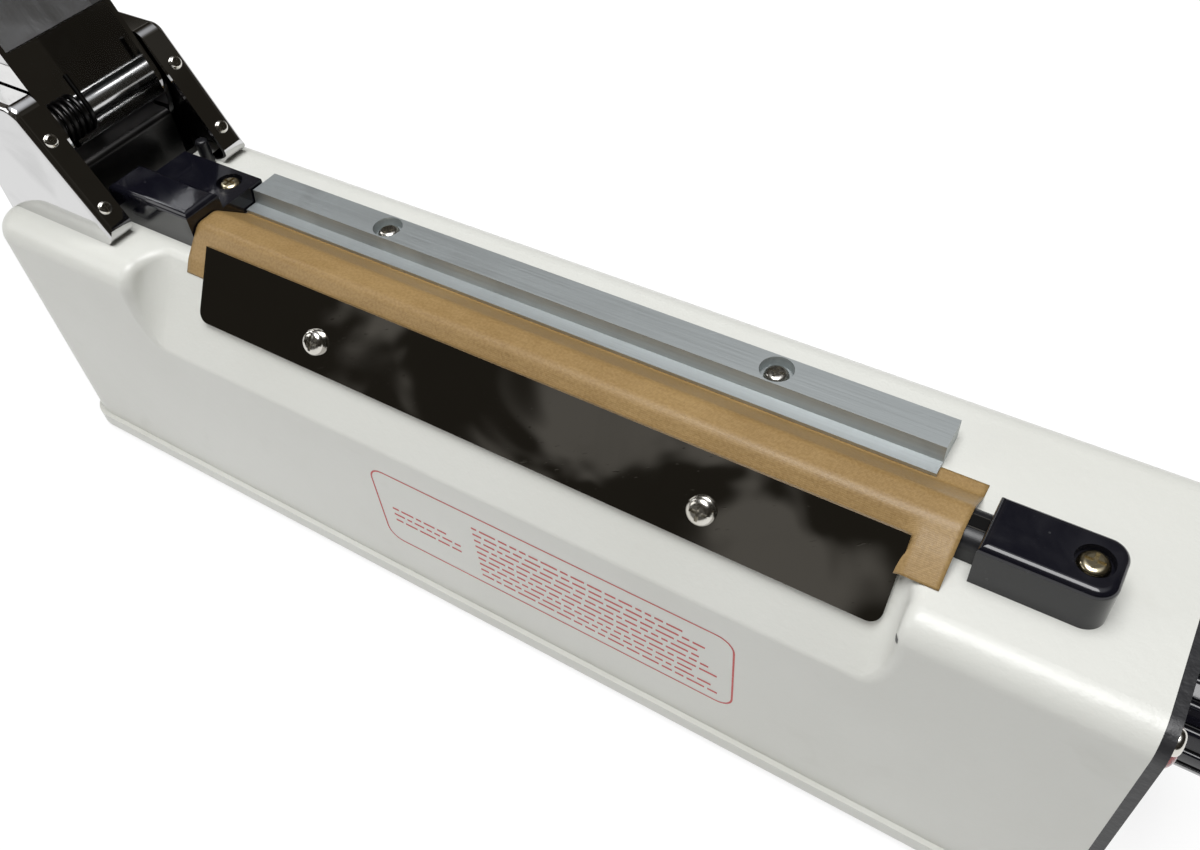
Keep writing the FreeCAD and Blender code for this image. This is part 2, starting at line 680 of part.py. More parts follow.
def cord_inlet():
    """A bush with a flange outside the wall and a groove ring inside it."""
    place = inlet_place()
    inside = place - BACK * (HOUSING_WALL + INLET_FLANGE_THICKNESS)
    flange = rod(place, BACK, INLET_FLANGE, INLET_FLANGE_THICKNESS)
    neck = rod(place - BACK * HOUSING_WALL, BACK, INLET_RADIUS, HOUSING_WALL)
    ring = rod(inside, BACK, INLET_FLANGE, INLET_FLANGE_THICKNESS)
    bore = rod(place - BACK * OVERCUT, BACK, INLET_BORE, 2 * OVERCUT)
    return fused([flange, neck, ring]).cut(bore)


def fuse_holder():
    place = fuse_place()
    flange = tube(place, BACK, FUSE_FLANGE, FUSE_CAP_RADIUS, FUSE_FLANGE_THICKNESS)
    barrel = rod(place - BACK * FUSE_LENGTH, BACK, FUSE_RADIUS, FUSE_LENGTH)
    return flange.fuse(barrel).removeSplitter()


def fuse_cap():
    cap = rod(fuse_place(), BACK, FUSE_CAP_RADIUS - SCREW_CLEARANCE, FUSE_FLANGE_THICKNESS + FUSE_CAP_RISE)
    slot = block(-FUSE_CAP_RADIUS, FUSE_CAP_RADIUS, -KNOB_GAP, KNOB_GAP, -SMALL_SCREW[2], OVERCUT)
    slot.Placement = facing(BACK, fuse_place() + BACK * (FUSE_FLANGE_THICKNESS + FUSE_CAP_RISE))
    return cap.cut(slot)


# Hinge posts, bracket, pin and spring

def post_outline(inset, y, low):
    """The posts' side view: a slanted front, a level top and an upright back."""
    top = TOP + POST_HEIGHT - inset
    back = POST_BACK + inset
    return [vec(slant_x(inset, low), y, low), vec(slant_x(inset, top), y, top), vec(back, y, top),
            vec(back, y, low)]


def slant_x(inset, z):
    """Where the posts' slanted front, drawn in by the inset, is at a height."""
    return POST_FOOT - inset / math.sin(SLANT) - (z - TOP) / math.tan(SLANT)


def post_solid(side, inset):
    """The post's filled shape, drawn in by the inset, with its outer rim and its toe rounded."""
    inner = POST_NEAR if side < 0 else POST_FAR
    start = inner - side * (OVERCUT if inset else 0)
    outer = inner + side * (POST_WIDTH - inset)
    low = TOP - TOP_EDGE_RADIUS - (OVERCUT if inset else 0)
    solid = prism(post_outline(inset, start, low), BACK * (outer - start))
    tops = edges_that(solid, lambda e: lies_along(e, BACK) and e.BoundBox.ZMin > TOP)
    solid = solid.makeFillet(POST_CORNER_RADIUS - inset, tops)
    rim = edges_that(solid, lambda e: abs(e.CenterOfMass.y - outer) < 1e-6 and e.CenterOfMass.z > low + 1e-6)
    return solid.makeFillet(POST_EDGE_RADIUS - inset, rim).cut(toe_trim(inset))


def toe_trim(inset):
    """What the rounding of the toe takes off, under the foot of the slanted face."""
    radius = POST_FOOT_RADIUS - inset
    centre = vec(POST_FOOT - POST_FOOT_RADIUS * (1 + math.cos(SLANT)) / math.sin(SLANT),
                 POST_NEAR - 2 * POST_WIDTH, TOP + POST_FOOT_RADIUS)
    sweep = BACK * (POST_GAP + 4 * POST_WIDTH)
    ahead = POST_FOOT + POST_FOOT_RADIUS
    below = TOP - TOP_EDGE_RADIUS - 2 * OVERCUT
    outline = [centre, centre + POST_OUT * (radius + POST_FOOT_RADIUS), vec(ahead, centre.y, centre.z),
               vec(ahead, centre.y, below), vec(centre.x, centre.y, below)]
    trim = prism(outline, sweep).cut(rod(centre, BACK, radius, sweep.Length))
    if not inset:
        return trim
    floor = block(centre.x - POST_TOE_FLANGE, ahead, centre.y, centre.y + sweep.Length, below, TOP + inset)
    return trim.fuse(floor)


def post(side):
    """A pressed cover, hollow, open underneath and towards the arm, fitted to the housing's left edge."""
    shell = post_solid(side, 0.0).cut(post_solid(side, POST_WALL)).cut(housing_solid(0.0))
    return shell.cut([shank_hole(POST_SCREW, p, POST_OUT) for p in post_screw_places()])


def post_screws():
    return Part.makeCompound([pan_screw(POST_SCREW, p, POST_OUT) for p in post_screw_places()])


def upright_faces():
    """The inner face of each of the bracket's uprights, and the way it thickens."""
    near = POST_NEAR - UPRIGHT_SETBACK
    far = POST_FAR + UPRIGHT_SETBACK
    return [(near, -1), (far, 1)]


def hinge_bracket():
    """A folded steel bracket: base, two uprights inside the posts, a rear stop and a front cross wall."""
    (near, _), (far, _) = upright_faces()
    front = X_LEFT + BRACKET_FRONT_INSET
    back = POST_BACK + POST_WALL
    pieces = [block(back, front, near - UPRIGHT_THICKNESS, far + UPRIGHT_THICKNESS, TOP, TOP + BRACKET_SHEET)]
    for face, side in upright_faces():
        wall = prism(post_outline(POST_WALL, face, TOP), BACK * (side * UPRIGHT_THICKNESS))
        corners = edges_that(wall, lambda e: lies_along(e, BACK) and e.BoundBox.ZMin > TOP + 1)
        wall = wall.makeFillet(POST_CORNER_RADIUS, corners)
        toe = block(front, POST_FOOT, POST_NEAR - POST_WIDTH, POST_FAR + POST_WIDTH, TOP, TOP + FLANGE_FOOT)
        pieces += [wall.cut(toe), bracket_flange(face, side)]
    pieces.append(block(back, back + BRACKET_STOP_SHEET, near, far, TOP, stop_height()))
    pieces.append(bracket_cross_wall(front))
    bracket = fused(pieces)
    pin_hole = rod(vec(PIVOT_X, POST_NEAR - POST_WIDTH, PIVOT_Z), BACK, PIN_RADIUS, POST_GAP + 2 * POST_WIDTH)
    holes = [shank_hole(SMALL_SCREW, p, UP) for p in bracket_screw_places()]
    holes += [shank_hole(POST_SCREW, p, POST_OUT) for p in post_screw_places()]
    return bracket.cut(holes + [pin_hole])


def bracket_cross_wall(front):
    """The front wall between the arm's sides, its top folded back to carry the spring's leg."""
    near = ARM_NEAR + ARM_SHEET + CROSS_SIDE_GAP
    far = ARM_FAR - ARM_SHEET - CROSS_SIDE_GAP
    top = TOP + CROSS_HEIGHT
    outer = block(front - CROSS_FLANGE, front, near, far, TOP, top)
    fold = edges_that(outer, lambda e: lies_along(e, BACK) and e.BoundBox.XMin > front - CROSS_SIDE_GAP
                      and e.BoundBox.ZMin > TOP)
    outer = outer.makeFillet(BRACKET_SHEET, fold)
    return outer.cut(block(front - CROSS_FLANGE, front - BRACKET_SHEET, near, far, TOP, top - BRACKET_SHEET))


def bracket_flange(face, side):
    """The upright's front edge, folded outwards behind the post's slanted face to take its screws."""
    low = TOP + FLANGE_FOOT
    high = TOP + POST_HEIGHT - POST_WALL - POST_CORNER_RADIUS
    inner = POST_WALL + FLANGE_DEPTH
    outline = [vec(slant_x(POST_WALL, low), face, low), vec(slant_x(POST_WALL, high), face, high),
               vec(slant_x(inner, high), face, high), vec(slant_x(inner, low), face, low)]
    return prism(outline, BACK * (side * (POST_WIDTH - UPRIGHT_SETBACK - POST_WALL - FLANGE_SIDE_GAP)))


def stop_height():
    """Where the thrown-back arm's web meets the bracket's rear wall, less the stop gap."""
    lean = math.radians(OPEN_ANGLE)
    depth = ARM_RISE + ARM_SHEET + STOP_GAP
    face_x = POST_BACK + POST_WALL + BRACKET_STOP_SHEET
    along = (PIVOT_X - depth * math.sin(lean) - face_x) / -math.cos(lean)
    return PIVOT_Z + depth * math.cos(lean) + along * math.sin(lean)


def bracket_screws():
    return Part.makeCompound([pan_screw(SMALL_SCREW, p, UP) for p in bracket_screw_places()])


def pin_span():
    (near, _), (far, _) = upright_faces()
    return near - UPRIGHT_THICKNESS - PIN_OVERHANG, far + UPRIGHT_THICKNESS + PIN_OVERHANG


def hinge_pin():
    start, end = pin_span()
    return rod(vec(PIVOT_X, start, PIVOT_Z), BACK, PIN_RADIUS, end - start)


def pin_clips():
    start, end = pin_span()
    gap = (PIN_OVERHANG - CLIP_THICKNESS) / 2
    places = (start + gap, end - gap - CLIP_THICKNESS)
    return Part.makeCompound([tube(vec(PIVOT_X, y, PIVOT_Z), BACK, CLIP_RADIUS, PIN_RADIUS, CLIP_THICKNESS)
                              for y in places])


def biarc(p0, t0, p1, t1):
    """Two tangent arcs from p0 to p1 that keep the end directions t0 and t1."""
    chord = p1.sub(p0)
    a = 2 * (t0.dot(t1) - 1)
    b = -2 * chord.dot(t0 + t1)
    c = chord.dot(chord)
    reach = (-b - math.sqrt(b * b - 4 * a * c)) / (2 * a)
    q0 = p0 + t0 * reach
    q1 = p1 - t1 * reach
    joint = (q0 + q1) * 0.5
    arcs = []
    for start, corner, end in ((p0, q0, joint), (joint, q1, p1)):
        middle = (start + end) * 0.5
        half_turn = math.atan2((corner - middle).Length, (end - middle).Length)
        bulge = math.tan(half_turn / 2) / math.tan(half_turn)
        arcs.append(Part.Arc(start, middle + (corner - middle) * bulge, end).toShape())
    return arcs


def coil_point(turn):
    """The spring wire's centre and direction after so many turns."""
    angle = math.radians(SPRING_FIXED_ANGLE) + 2 * math.pi * turn
    around = vec(math.cos(angle), 0, math.sin(angle))
    point = vec(PIVOT_X, SPRING_Y + SPRING_PITCH * turn, PIVOT_Z) + around * SPRING_RADIUS
    rise = SPRING_PITCH / (2 * math.pi * SPRING_RADIUS)
    heading = vec(-math.sin(angle), rise, math.cos(angle))
    return point, heading.normalize()


def spring_turns():
    """Whole turns, then on to where the wire heads up inside the thrown-back arm."""
    last = OPEN_ANGLE + SPRING_MOVING_TILT - 90.0 - SPRING_FIXED_ANGLE
    return SPRING_TURNS + last / 360.0


def return_spring():
    """A torsion spring on the pin: one leg on the bracket's cross wall, one free inside the open arm."""
    turns = spring_turns()
    steps = math.ceil(turns * 4)
    stations = [coil_point(turns * k / steps) for k in range(steps + 1)]
    start, heading = stations[0]
    drop = start.z - TOP - CROSS_HEIGHT - SPRING_WIRE / 2 - STOP_GAP
    foot = start - heading * (drop / heading.z)
    edges = [Part.LineSegment(foot, start).toShape()]
    for (p0, t0), (p1, t1) in zip(stations, stations[1:]):
        edges += biarc(p0, t0, p1, t1)
    last, heading = stations[-1]
    edges.append(Part.LineSegment(last, last + heading * SPRING_MOVING_LEG).toShape())
    path = Part.Wire(edges)
    direction = (start - foot).normalize()
    ring = Part.Wire(Part.makeCircle(SPRING_WIRE / 2, foot, direction))
    print("return spring gap", round(least_gap(turns), 3))
    return path.makePipeShell([ring], True, False)


def least_gap(turns):
    """The least clear space between neighbouring turns of the spring, measured on points."""
    per_turn = 48
    points = [coil_point(k / per_turn)[0] for k in range(int(turns * per_turn) + 1)]
    gaps = [points[k].distanceToPoint(points[k + per_turn + shift])
            for k in range(len(points)) for shift in range(-2, 3) if k + per_turn + shift < len(points)]
    return min(gaps) - SPRING_WIRE


# Arm

def thrown_back(shape):
    """Turns a piece drawn with the arm closed to where the open arm holds it."""
    shape = shape.copy()
    shape.rotate(vec(PIVOT_X, 0, PIVOT_Z), BACK, -OPEN_ANGLE)
    return shape


def arm_wall(y):
    """One side of the arm, rounded about the pivot at its tail and at its lower right corner."""
    ear = rod(vec(PIVOT_X, y, PIVOT_Z), BACK, ARM_DROP, ARM_SHEET)
    ear = ear.common(block(PIVOT_X - ARM_DROP, PIVOT_X + ARM_DROP, y, y + ARM_SHEET, ARM_EDGE, WEB_UNDER))
    side = block(PIVOT_X, ARM_END, y, y + ARM_SHEET, ARM_EDGE, WEB_UNDER)
    corner = edges_that(side, lambda e: lies_along(e, BACK) and e.BoundBox.XMin > ARM_END - 1
                        and e.BoundBox.ZMax < ARM_EDGE + 1)
    return ear.fuse(side.makeFillet(ARM_END_RADIUS, corner)).removeSplitter()


def arm_channel():
    """A deep channel, open below, whose top sheet curls down round the tail."""
    curl_x = PIVOT_X - ARM_TAIL
    top = block(curl_x, ARM_END, ARM_NEAR, ARM_FAR, WEB_UNDER, WEB_TOP)
    bends = edges_that(top, lambda e: lies_along(e, RIGHT) and e.BoundBox.ZMin > WEB_TOP - ARM_SHEET / 2)
    top = top.makeFillet(ARM_SHEET - SCREW_CLEARANCE, bends)
    curl = tube(vec(curl_x, ARM_NEAR + ARM_SHEET, WEB_UNDER - ARM_RISE), BACK, ARM_RISE + ARM_SHEET, ARM_RISE,
                ARM_FAR - ARM_NEAR - 2 * ARM_SHEET)
    quarter = block(curl_x - ARM_RISE - ARM_SHEET, curl_x, ARM_NEAR, ARM_FAR, WEB_UNDER - ARM_RISE, WEB_TOP)
    walls = [arm_wall(ARM_NEAR), arm_wall(ARM_FAR - ARM_SHEET)]
    channel = fused([top, curl.common(quarter)] + walls)
    holes = [rod(vec(PIVOT_X, ARM_NEAR - OVERCUT, PIVOT_Z), BACK, PIN_RADIUS + PIN_CLEARANCE,
                 ARM_FAR - ARM_NEAR + 2 * OVERCUT)]
    holes += [shank_hole(SMALL_SCREW, p, BACK * side) for p, side in carrier_screw_places()]
    holes += [shank_hole(SMALL_SCREW, p, UP) for p in grip_screw_places()]
    return channel.cut(holes)


def carrier_span():
    return PIVOT_X + CARRIER_START, ARM_END - CARRIER_END_GAP


def carrier_screw_places():
    start, end = carrier_span()
    z = TOP + CARRIER_UNDERSIDE + CARRIER_SCREW_HEIGHT
    return [(vec(x, y, z), side) for y, side in ((ARM_NEAR, -1), (ARM_FAR, 1))
            for x in (start + CARRIER_SCREW_INSET, end - CARRIER_SCREW_INSET)]


def press_span():
    return BAR_LEFT + PRESS_BAR_END_GAP, ARM_END - PRESS_BAR_END_GAP


def press_screw_places():
    start, end = press_span()
    start += PRESS_SCREW_INSET
    end -= PRESS_SCREW_INSET
    step = (end - start) / (PRESS_SCREWS - 1)
    z = TOP + CARRIER_UNDERSIDE + CARRIER_SHEET
    return [vec(start + step * k, BAR_Y, z) for k in range(PRESS_SCREWS)]


def press_carrier():
    """An aluminium channel screwed between the arm's sides, over the terminal blocks."""
    start, end = carrier_span()
    near = ARM_NEAR + ARM_SHEET
    far = ARM_FAR - ARM_SHEET
    low = TOP + CARRIER_UNDERSIDE
    high = low + CARRIER_LEG
    trough = block(start, end, near, far, low, high)
    hollow = block(start, end, near + CARRIER_SHEET, far - CARRIER_SHEET, low + CARRIER_SHEET, high)
    holes = [shank_hole(SMALL_SCREW, p, UP) for p in press_screw_places()]
    holes += [shank_hole(SMALL_SCREW, p, BACK * side) for p, side in carrier_screw_places()]
    return trough.cut(holes + [hollow])


def carrier_screws():
    return Part.makeCompound([pan_screw(SMALL_SCREW, p, BACK * side, ARM_SHEET + CARRIER_SHEET)
                              for p, side in carrier_screw_places()])


def press_bar():
    start, end = press_span()
    low = CLOTH_TOP + RUBBER_GAP + RUBBER_THICKNESS
    half = PRESS_BAR_WIDTH / 2
    bar = block(start, end, BAR_Y - half, BAR_Y + half, low, TOP + CARRIER_UNDERSIDE)
    holes = [shank_hole(SMALL_SCREW, p, UP, press_screw_length()) for p in press_screw_places()]
    return bar.cut(holes)


def press_screw_length():
    """Through the carrier and into the press bar, short of its lower face."""
    return TOP + CARRIER_UNDERSIDE + CARRIER_SHEET - (CLOTH_TOP + RUBBER_GAP + RUBBER_THICKNESS) - KNOB_GAP


def press_bar_screws():
    length = press_screw_length()
    return Part.makeCompound([pan_screw(SMALL_SCREW, p, UP, length) for p in press_screw_places()])


def silicone_strip():
    start, end = press_span()
    low = CLOTH_TOP + RUBBER_GAP
    return block(start, end, BAR_Y - RUBBER_WIDTH / 2, BAR_Y + RUBBER_WIDTH / 2, low, low + RUBBER_THICKNESS)


def grip_screw_places():
    first = ARM_END - TONGUE_LENGTH / 2 - GRIP_SCREW_PITCH / 2
    return [vec(first + GRIP_SCREW_PITCH * k, HINGE_Y, WEB_TOP) for k in range(2)]


def arm_grip():
    """A rounded plastic hand grip with a tongue screwed up inside the arm's end."""
    body = block(ARM_END, ARM_END + GRIP_LENGTH, HINGE_Y - GRIP_WIDTH / 2, HINGE_Y + GRIP_WIDTH / 2,
                 TOP + GRIP_UNDERSIDE, TOP + GRIP_TOP)
    edges = edges_that(body, lambda e: lies_along(e, RIGHT) or e.BoundBox.XMin > ARM_END + GRIP_LENGTH / 2)
    body = body.makeFillet(GRIP_RADIUS, edges)
    tongue = block(ARM_END - TONGUE_LENGTH, ARM_END + GRIP_RADIUS, HINGE_Y - TONGUE_WIDTH / 2,
                   HINGE_Y + TONGUE_WIDTH / 2, WEB_UNDER - TONGUE_HEIGHT, WEB_UNDER)
    grip = body.fuse(tongue).removeSplitter()
    return grip.cut([shank_hole(SMALL_SCREW, p, UP) for p in grip_screw_places()])


def grip_screws():
    return Part.makeCompound([pan_screw(SMALL_SCREW, p, UP) for p in grip_screw_places()])


# Seal bed

def screw_well(place):
    """The round pit over a sunk screw's head, with the hole for its shank."""
    well = rod(place, UP, BLOCK_WELL_RADIUS, BLOCK_HEIGHT)
    return [well, shank_hole(BLOCK_SCREW, place, UP, BLOCK_HEIGHT)]


def left_terminal_block():
    """A block that holds the element's end, with a lower flange behind for its screw."""
    high = TOP + BLOCK_HEIGHT
    middle = TOP + LEFT_FLANGE_HEIGHT
    outline = [(LEFT_BLOCK_FRONT, TOP), (LEFT_BLOCK_FRONT, high), (LEFT_BLOCK_STEP, high),
               (LEFT_BLOCK_STEP, middle), (LEFT_BLOCK_BACK, middle), (LEFT_BLOCK_BACK, TOP)]
    solid = prism([vec(LEFT_BLOCK_X, y, z) for y, z in outline], RIGHT * LEFT_BLOCK_LENGTH)
    upper = edges_that(solid, lambda e: e.BoundBox.ZMin > TOP + LEFT_FLANGE_HEIGHT + 1)
    solid = solid.makeFillet(BLOCK_EDGE_RADIUS, upper)
    rod_way = rod(vec(ROD_X, ROD_Y, TOP), UP, ROD_RADIUS + BLOCK_ROD_GAP, BLOCK_HEIGHT)
    return solid.cut(screw_well(block_screw_places()[0]) + [rod_way])


def right_terminal_block():
    solid = block(BAR_RIGHT, RIGHT_BLOCK_END, RIGHT_BLOCK_FRONT, RIGHT_BLOCK_BACK, TOP, TOP + BLOCK_HEIGHT)
    ends = edges_that(solid, lambda e: lies_along(e, UP) and e.BoundBox.XMin > RIGHT_BLOCK_END - 1)
    solid = solid.makeFillet(RIGHT_BLOCK_RADIUS, ends)
    upper = edges_that(solid, lambda e: e.BoundBox.ZMin > TOP + BLOCK_HEIGHT - 1e-3)
    solid = solid.makeFillet(BLOCK_EDGE_RADIUS, upper)
    return solid.cut(screw_well(block_screw_places()[1]))


def terminal_screws():
    return Part.makeCompound([pan_screw(BLOCK_SCREW, p, UP, BLOCK_HEIGHT) for p in block_screw_places()])


def seal_bar():
    solid = block(BAR_LEFT, BAR_RIGHT, BAR_Y - BAR_WIDTH / 2, BAR_Y + BAR_WIDTH / 2, TOP, BAR_TOP)
    shoulders = edges_that(solid, lambda e: lies_along(e, RIGHT) and e.BoundBox.ZMin > BAR_TOP - 1)
    return solid.makeFillet(BAR_RADIUS, shoulders)


def insulation_tape():
    half = TAPE_WIDTH / 2
    tape_half = min(half, BAR_WIDTH / 2 - BAR_RADIUS)
    return block(BAR_LEFT, BAR_RIGHT, BAR_Y - tape_half, BAR_Y + tape_half, BAR_TOP, BAR_TOP + TAPE_THICKNESS)


def heating_element():
    low = BAR_TOP + TAPE_THICKNESS
    half = RIBBON_WIDTH / 2
    return block(BAR_LEFT, BAR_RIGHT, BAR_Y - half, BAR_Y + half, low, low + RIBBON_THICKNESS)


def taut_arc(middle, radius, point, side):
    """The arc from a shoulder's crest to where a line from the point touches it, and that place."""
    reach = point - middle
    touch = math.atan2(reach.z, side * reach.y) + math.acos(radius / reach.Length)
    half_way = (touch + math.pi / 2) / 2
    leave = middle + vec(0, side * math.cos(touch), math.sin(touch)) * radius
    bulge = middle + vec(0, side * math.cos(half_way), math.sin(half_way)) * radius
    return leave, Part.Arc(leave, bulge, middle + UP * radius).toShape()


def cloth_path(x, front):
    """The cloth's lower side: from under the strip's lip, taut over the bar, then by the front points."""
    crest = RIBBON_TOP + CLOTH_LIFT
    radius = BAR_RADIUS + crest - BAR_TOP
    shoulder = vec(x, BAR_WIDTH / 2 - BAR_RADIUS, 0)
    back_middle = vec(0, BAR_Y, crest - radius) + shoulder
    front_middle = vec(x, BAR_Y - shoulder.y, crest - radius)
    bend = vec(x, STRIP_LIP - STRIP_BEND_GAP, TOP + CLOTH_LIFT)
    back_leave, back_arc = taut_arc(back_middle, radius, bend, 1)
    front_leave, front_arc = taut_arc(front_middle, radius, front[0], -1)
    edges = [Part.makeLine(vec(x, STRIP_LIP + STRIP_TUCK, bend.z), bend),
             Part.makeLine(bend, back_leave), back_arc,
             Part.makeLine(back_middle + UP * radius, front_middle + UP * radius), front_arc]
    last = front_leave
    for point in front:
        edges.append(Part.makeLine(last, point))
        last = point
    return Part.Wire(edges)


def cloth_run(x0, x1, front):
    """One length of the cloth, its front edge shaped by the front points."""
    path = cloth_path(x0, front)
    band = path.makeOffset2D(CLOTH_THICKNESS, 2, True, True)
    if band.BoundBox.ZMax < CLOTH_TOP - CLOTH_THICKNESS / 2:
        band = path.makeOffset2D(-CLOTH_THICKNESS, 2, True, True)
    return band.Faces[0].extrude(RIGHT * (x1 - x0))


def ptfe_cloth():
    """The cloth over the bar: its hem runs down the slope, and past the guard it lies flat."""
    left = BAR_LEFT + CLOTH_LEFT_GAP
    slope_end = X_RIGHT - RECESS_RIGHT_INSET - RECESS_CORNER_RADIUS
    guard_end = BAR_RIGHT - GUARD_RIGHT_GAP + CLOTH_GUARD_GAP
    right = BAR_RIGHT - CLOTH_RIGHT_GAP
    hem = [on_slope(left, 0, CLOTH_LIFT), on_slope(left, CLOTH_FRONT_REACH, CLOTH_LIFT)]
    brow = [on_slope(slope_end, 0, CLOTH_LIFT)]
    flat = [vec(guard_end, RECESS_TOP_Y - CLOTH_FRONT_REACH, TOP + CLOTH_LIFT)]
    return fused([cloth_run(left, slope_end, hem), cloth_run(slope_end, guard_end, brow),
                  cloth_run(guard_end, right, flat)])


def clamp_strip():
    """An extruded strip: a raised flat behind and a thin lip over the cloth's back edge."""
    low = TOP + 2 * CLOTH_LIFT + CLOTH_THICKNESS
    relief = STRIP_LIP + STRIP_TUCK + CLOTH_LIFT
    lip_top = low + STRIP_LIP_THICKNESS
    high = TOP + STRIP_HEIGHT
    outline = [(STRIP_LIP, low), (STRIP_LIP, lip_top), (STRIP_STEP - STRIP_STEP_LEAN, lip_top),
               (STRIP_STEP, high), (STRIP_BACK, high), (STRIP_BACK, TOP), (relief, TOP), (relief, low)]
    x0 = BAR_LEFT + STRIP_LEFT_GAP
    strip = prism([vec(x0, y, z) for y, z in outline], RIGHT * (BAR_RIGHT - STRIP_RIGHT_GAP - x0))
    holes = [rod(p, UP, STRIP_WELL_RADIUS, STRIP_HEIGHT) for p in strip_screw_places()]
    holes += [shank_hole(STRIP_SCREW, p, UP) for p in strip_screw_places()]
    return strip.cut(holes)


def clamp_strip_screws():
    length = SCREW_GRIP + STRIP_HEIGHT - STRIP_WELL_DEPTH
    return Part.makeCompound([pan_screw(STRIP_SCREW, p, UP, length) for p in strip_screw_places()])


def front_guard():
    """A bright plate on the slope, over the cloth's front hem, its lower corners rounded."""
    x0 = BAR_LEFT + GUARD_LEFT_GAP
    x1 = BAR_RIGHT - GUARD_RIGHT_GAP
    out = CLOTH_THICKNESS + 2 * CLOTH_LIFT
    corners = [on_slope(x0, -GUARD_ABOVE, out), on_slope(x1, -GUARD_ABOVE, out),
               on_slope(x1, GUARD_BELOW, out), on_slope(x0, GUARD_BELOW, out)]
    plate = prism(corners, SLOPE_OUT * GUARD_THICKNESS)
    low = edges_that(plate, lambda e: lies_along(e, SLOPE_OUT) and e.BoundBox.ZMax < TOP - GUARD_BELOW / 2)
    plate = plate.makeFillet(GUARD_CORNER_RADIUS, low)
    return plate.cut([shank_hole(PLATE_SCREW, p, SLOPE_OUT) for p in guard_screw_places()])


def front_guard_screws():
    return Part.makeCompound([pan_screw(PLATE_SCREW, p, SLOPE_OUT) for p in guard_screw_places()])


# Inside the housing

def rod_top():
    return ARM_EDGE - ROD_CLOSED_GAP + ROD_TRAVEL


def switch_push_rod():
    """A plastic rod through the housing's top, with a collar that keeps it in."""
    collar_top = INNER_TOP - ROD_COLLAR_GAP
    foot = collar_top - ROD_COLLAR_THICKNESS - ROD_TAIL
    stem = rod(vec(ROD_X, ROD_Y, foot), UP, ROD_RADIUS, rod_top() - foot)
    crown = edges_that(stem, lambda e: e.BoundBox.ZMin > rod_top() - 1e-3)
    stem = stem.makeFillet(ROD_RADIUS / 2, crown)
    collar_foot = vec(ROD_X, ROD_Y, collar_top - ROD_COLLAR_THICKNESS)
    collar = rod(collar_foot, UP, ROD_COLLAR_RADIUS, ROD_COLLAR_THICKNESS)
    return stem.fuse(collar).removeSplitter()


def switch_top():
    foot = INNER_TOP - ROD_COLLAR_GAP - ROD_COLLAR_THICKNESS - ROD_TAIL
    return foot - ROD_TRAVEL - SWITCH_GAP - SWITCH_BUTTON_RISE


def micro_switch():
    top = switch_top()
    half_length = SWITCH_LENGTH / 2
    half_width = SWITCH_WIDTH / 2
    body = block(ROD_X - half_length, ROD_X + half_length, ROD_Y - half_width, ROD_Y + half_width,
                 top - SWITCH_HEIGHT, top)
    button = rod(vec(ROD_X, ROD_Y, top), UP, SWITCH_BUTTON_RADIUS, SWITCH_BUTTON_RISE)
    return body.fuse(button)


def switch_bracket():
    """A bent tab that hangs the switch from the underside of the housing's top."""
    y = ROD_Y + SWITCH_WIDTH / 2
    x0 = ROD_X - SWITCH_LENGTH / 2
    x1 = ROD_X + SWITCH_LENGTH / 2
    tab = block(x0, x1, y, y + SWITCH_SHEET, switch_top() - SWITCH_HEIGHT, INNER_TOP)
    flange = block(x0, x1, y, y + SWITCH_FLANGE, INNER_TOP - SWITCH_SHEET, INNER_TOP)
    return tab.fuse(flange).removeSplitter()


def core_leg():
    """Half the width of the transformer core's middle leg."""
    return (CORE_LENGTH - 2 * CORE_YOKE - 2 * CORE_WINDOW) / 2


def transformer_core():
    """A laminated core with two windows."""
    low = BASE_TOP
    half = CORE_LENGTH / 2
    core = block(TRANSFORMER_X - half, TRANSFORMER_X + half, -CORE_STACK / 2, CORE_STACK / 2, low,
                 low + CORE_HEIGHT)
    windows = []
    for side in (-1, 1):
        middle = TRANSFORMER_X + side * (core_leg() + CORE_WINDOW / 2)
        windows.append(block(middle - CORE_WINDOW / 2, middle + CORE_WINDOW / 2, -CORE_STACK, CORE_STACK,
                             low + CORE_YOKE, low + CORE_HEIGHT - CORE_YOKE))
    return core.cut(windows)


def transformer_coil():
    """The winding on the middle leg, filling the windows and bulging at both faces."""
    reach = core_leg() + CORE_WINDOW
    depth = CORE_STACK / 2 + COIL_OVERHANG
    low = BASE_TOP + CORE_YOKE
    high = BASE_TOP + CORE_HEIGHT - CORE_YOKE
    coil = block(TRANSFORMER_X - reach, TRANSFORMER_X + reach, -depth, depth, low, high)
    coil = coil.makeFillet(COIL_RADIUS, edges_that(coil, lambda e: lies_along(e, UP)))
    leg = core_leg()
    bore = block(TRANSFORMER_X - leg, TRANSFORMER_X + leg, -CORE_STACK / 2, CORE_STACK / 2, low, high)
    return coil.cut(bore)


def transformer_strap():
    """A steel strap over the core with a foot on each side."""
    half = CORE_LENGTH / 2
    width = CORE_STACK / 2
    top = BASE_TOP + CORE_HEIGHT
    hoop = block(TRANSFORMER_X - half - STRAP_SHEET, TRANSFORMER_X + half + STRAP_SHEET, -width, width,
                 BASE_TOP, top + STRAP_SHEET)
    hoop = hoop.cut(block(TRANSFORMER_X - half, TRANSFORMER_X + half, -width, width, BASE_TOP, top))
    foot = half + STRAP_SHEET + STRAP_FOOT
    feet = block(TRANSFORMER_X - foot, TRANSFORMER_X + foot, -width, width, BASE_TOP, BASE_TOP + STRAP_SHEET)
    feet = feet.cut(block(TRANSFORMER_X - half, TRANSFORMER_X + half, -width, width, BASE_TOP, top))
    strap = hoop.fuse(feet).removeSplitter()
    return strap.cut([shank_hole(SMALL_SCREW, p, UP) for p in strap_screw_places()])


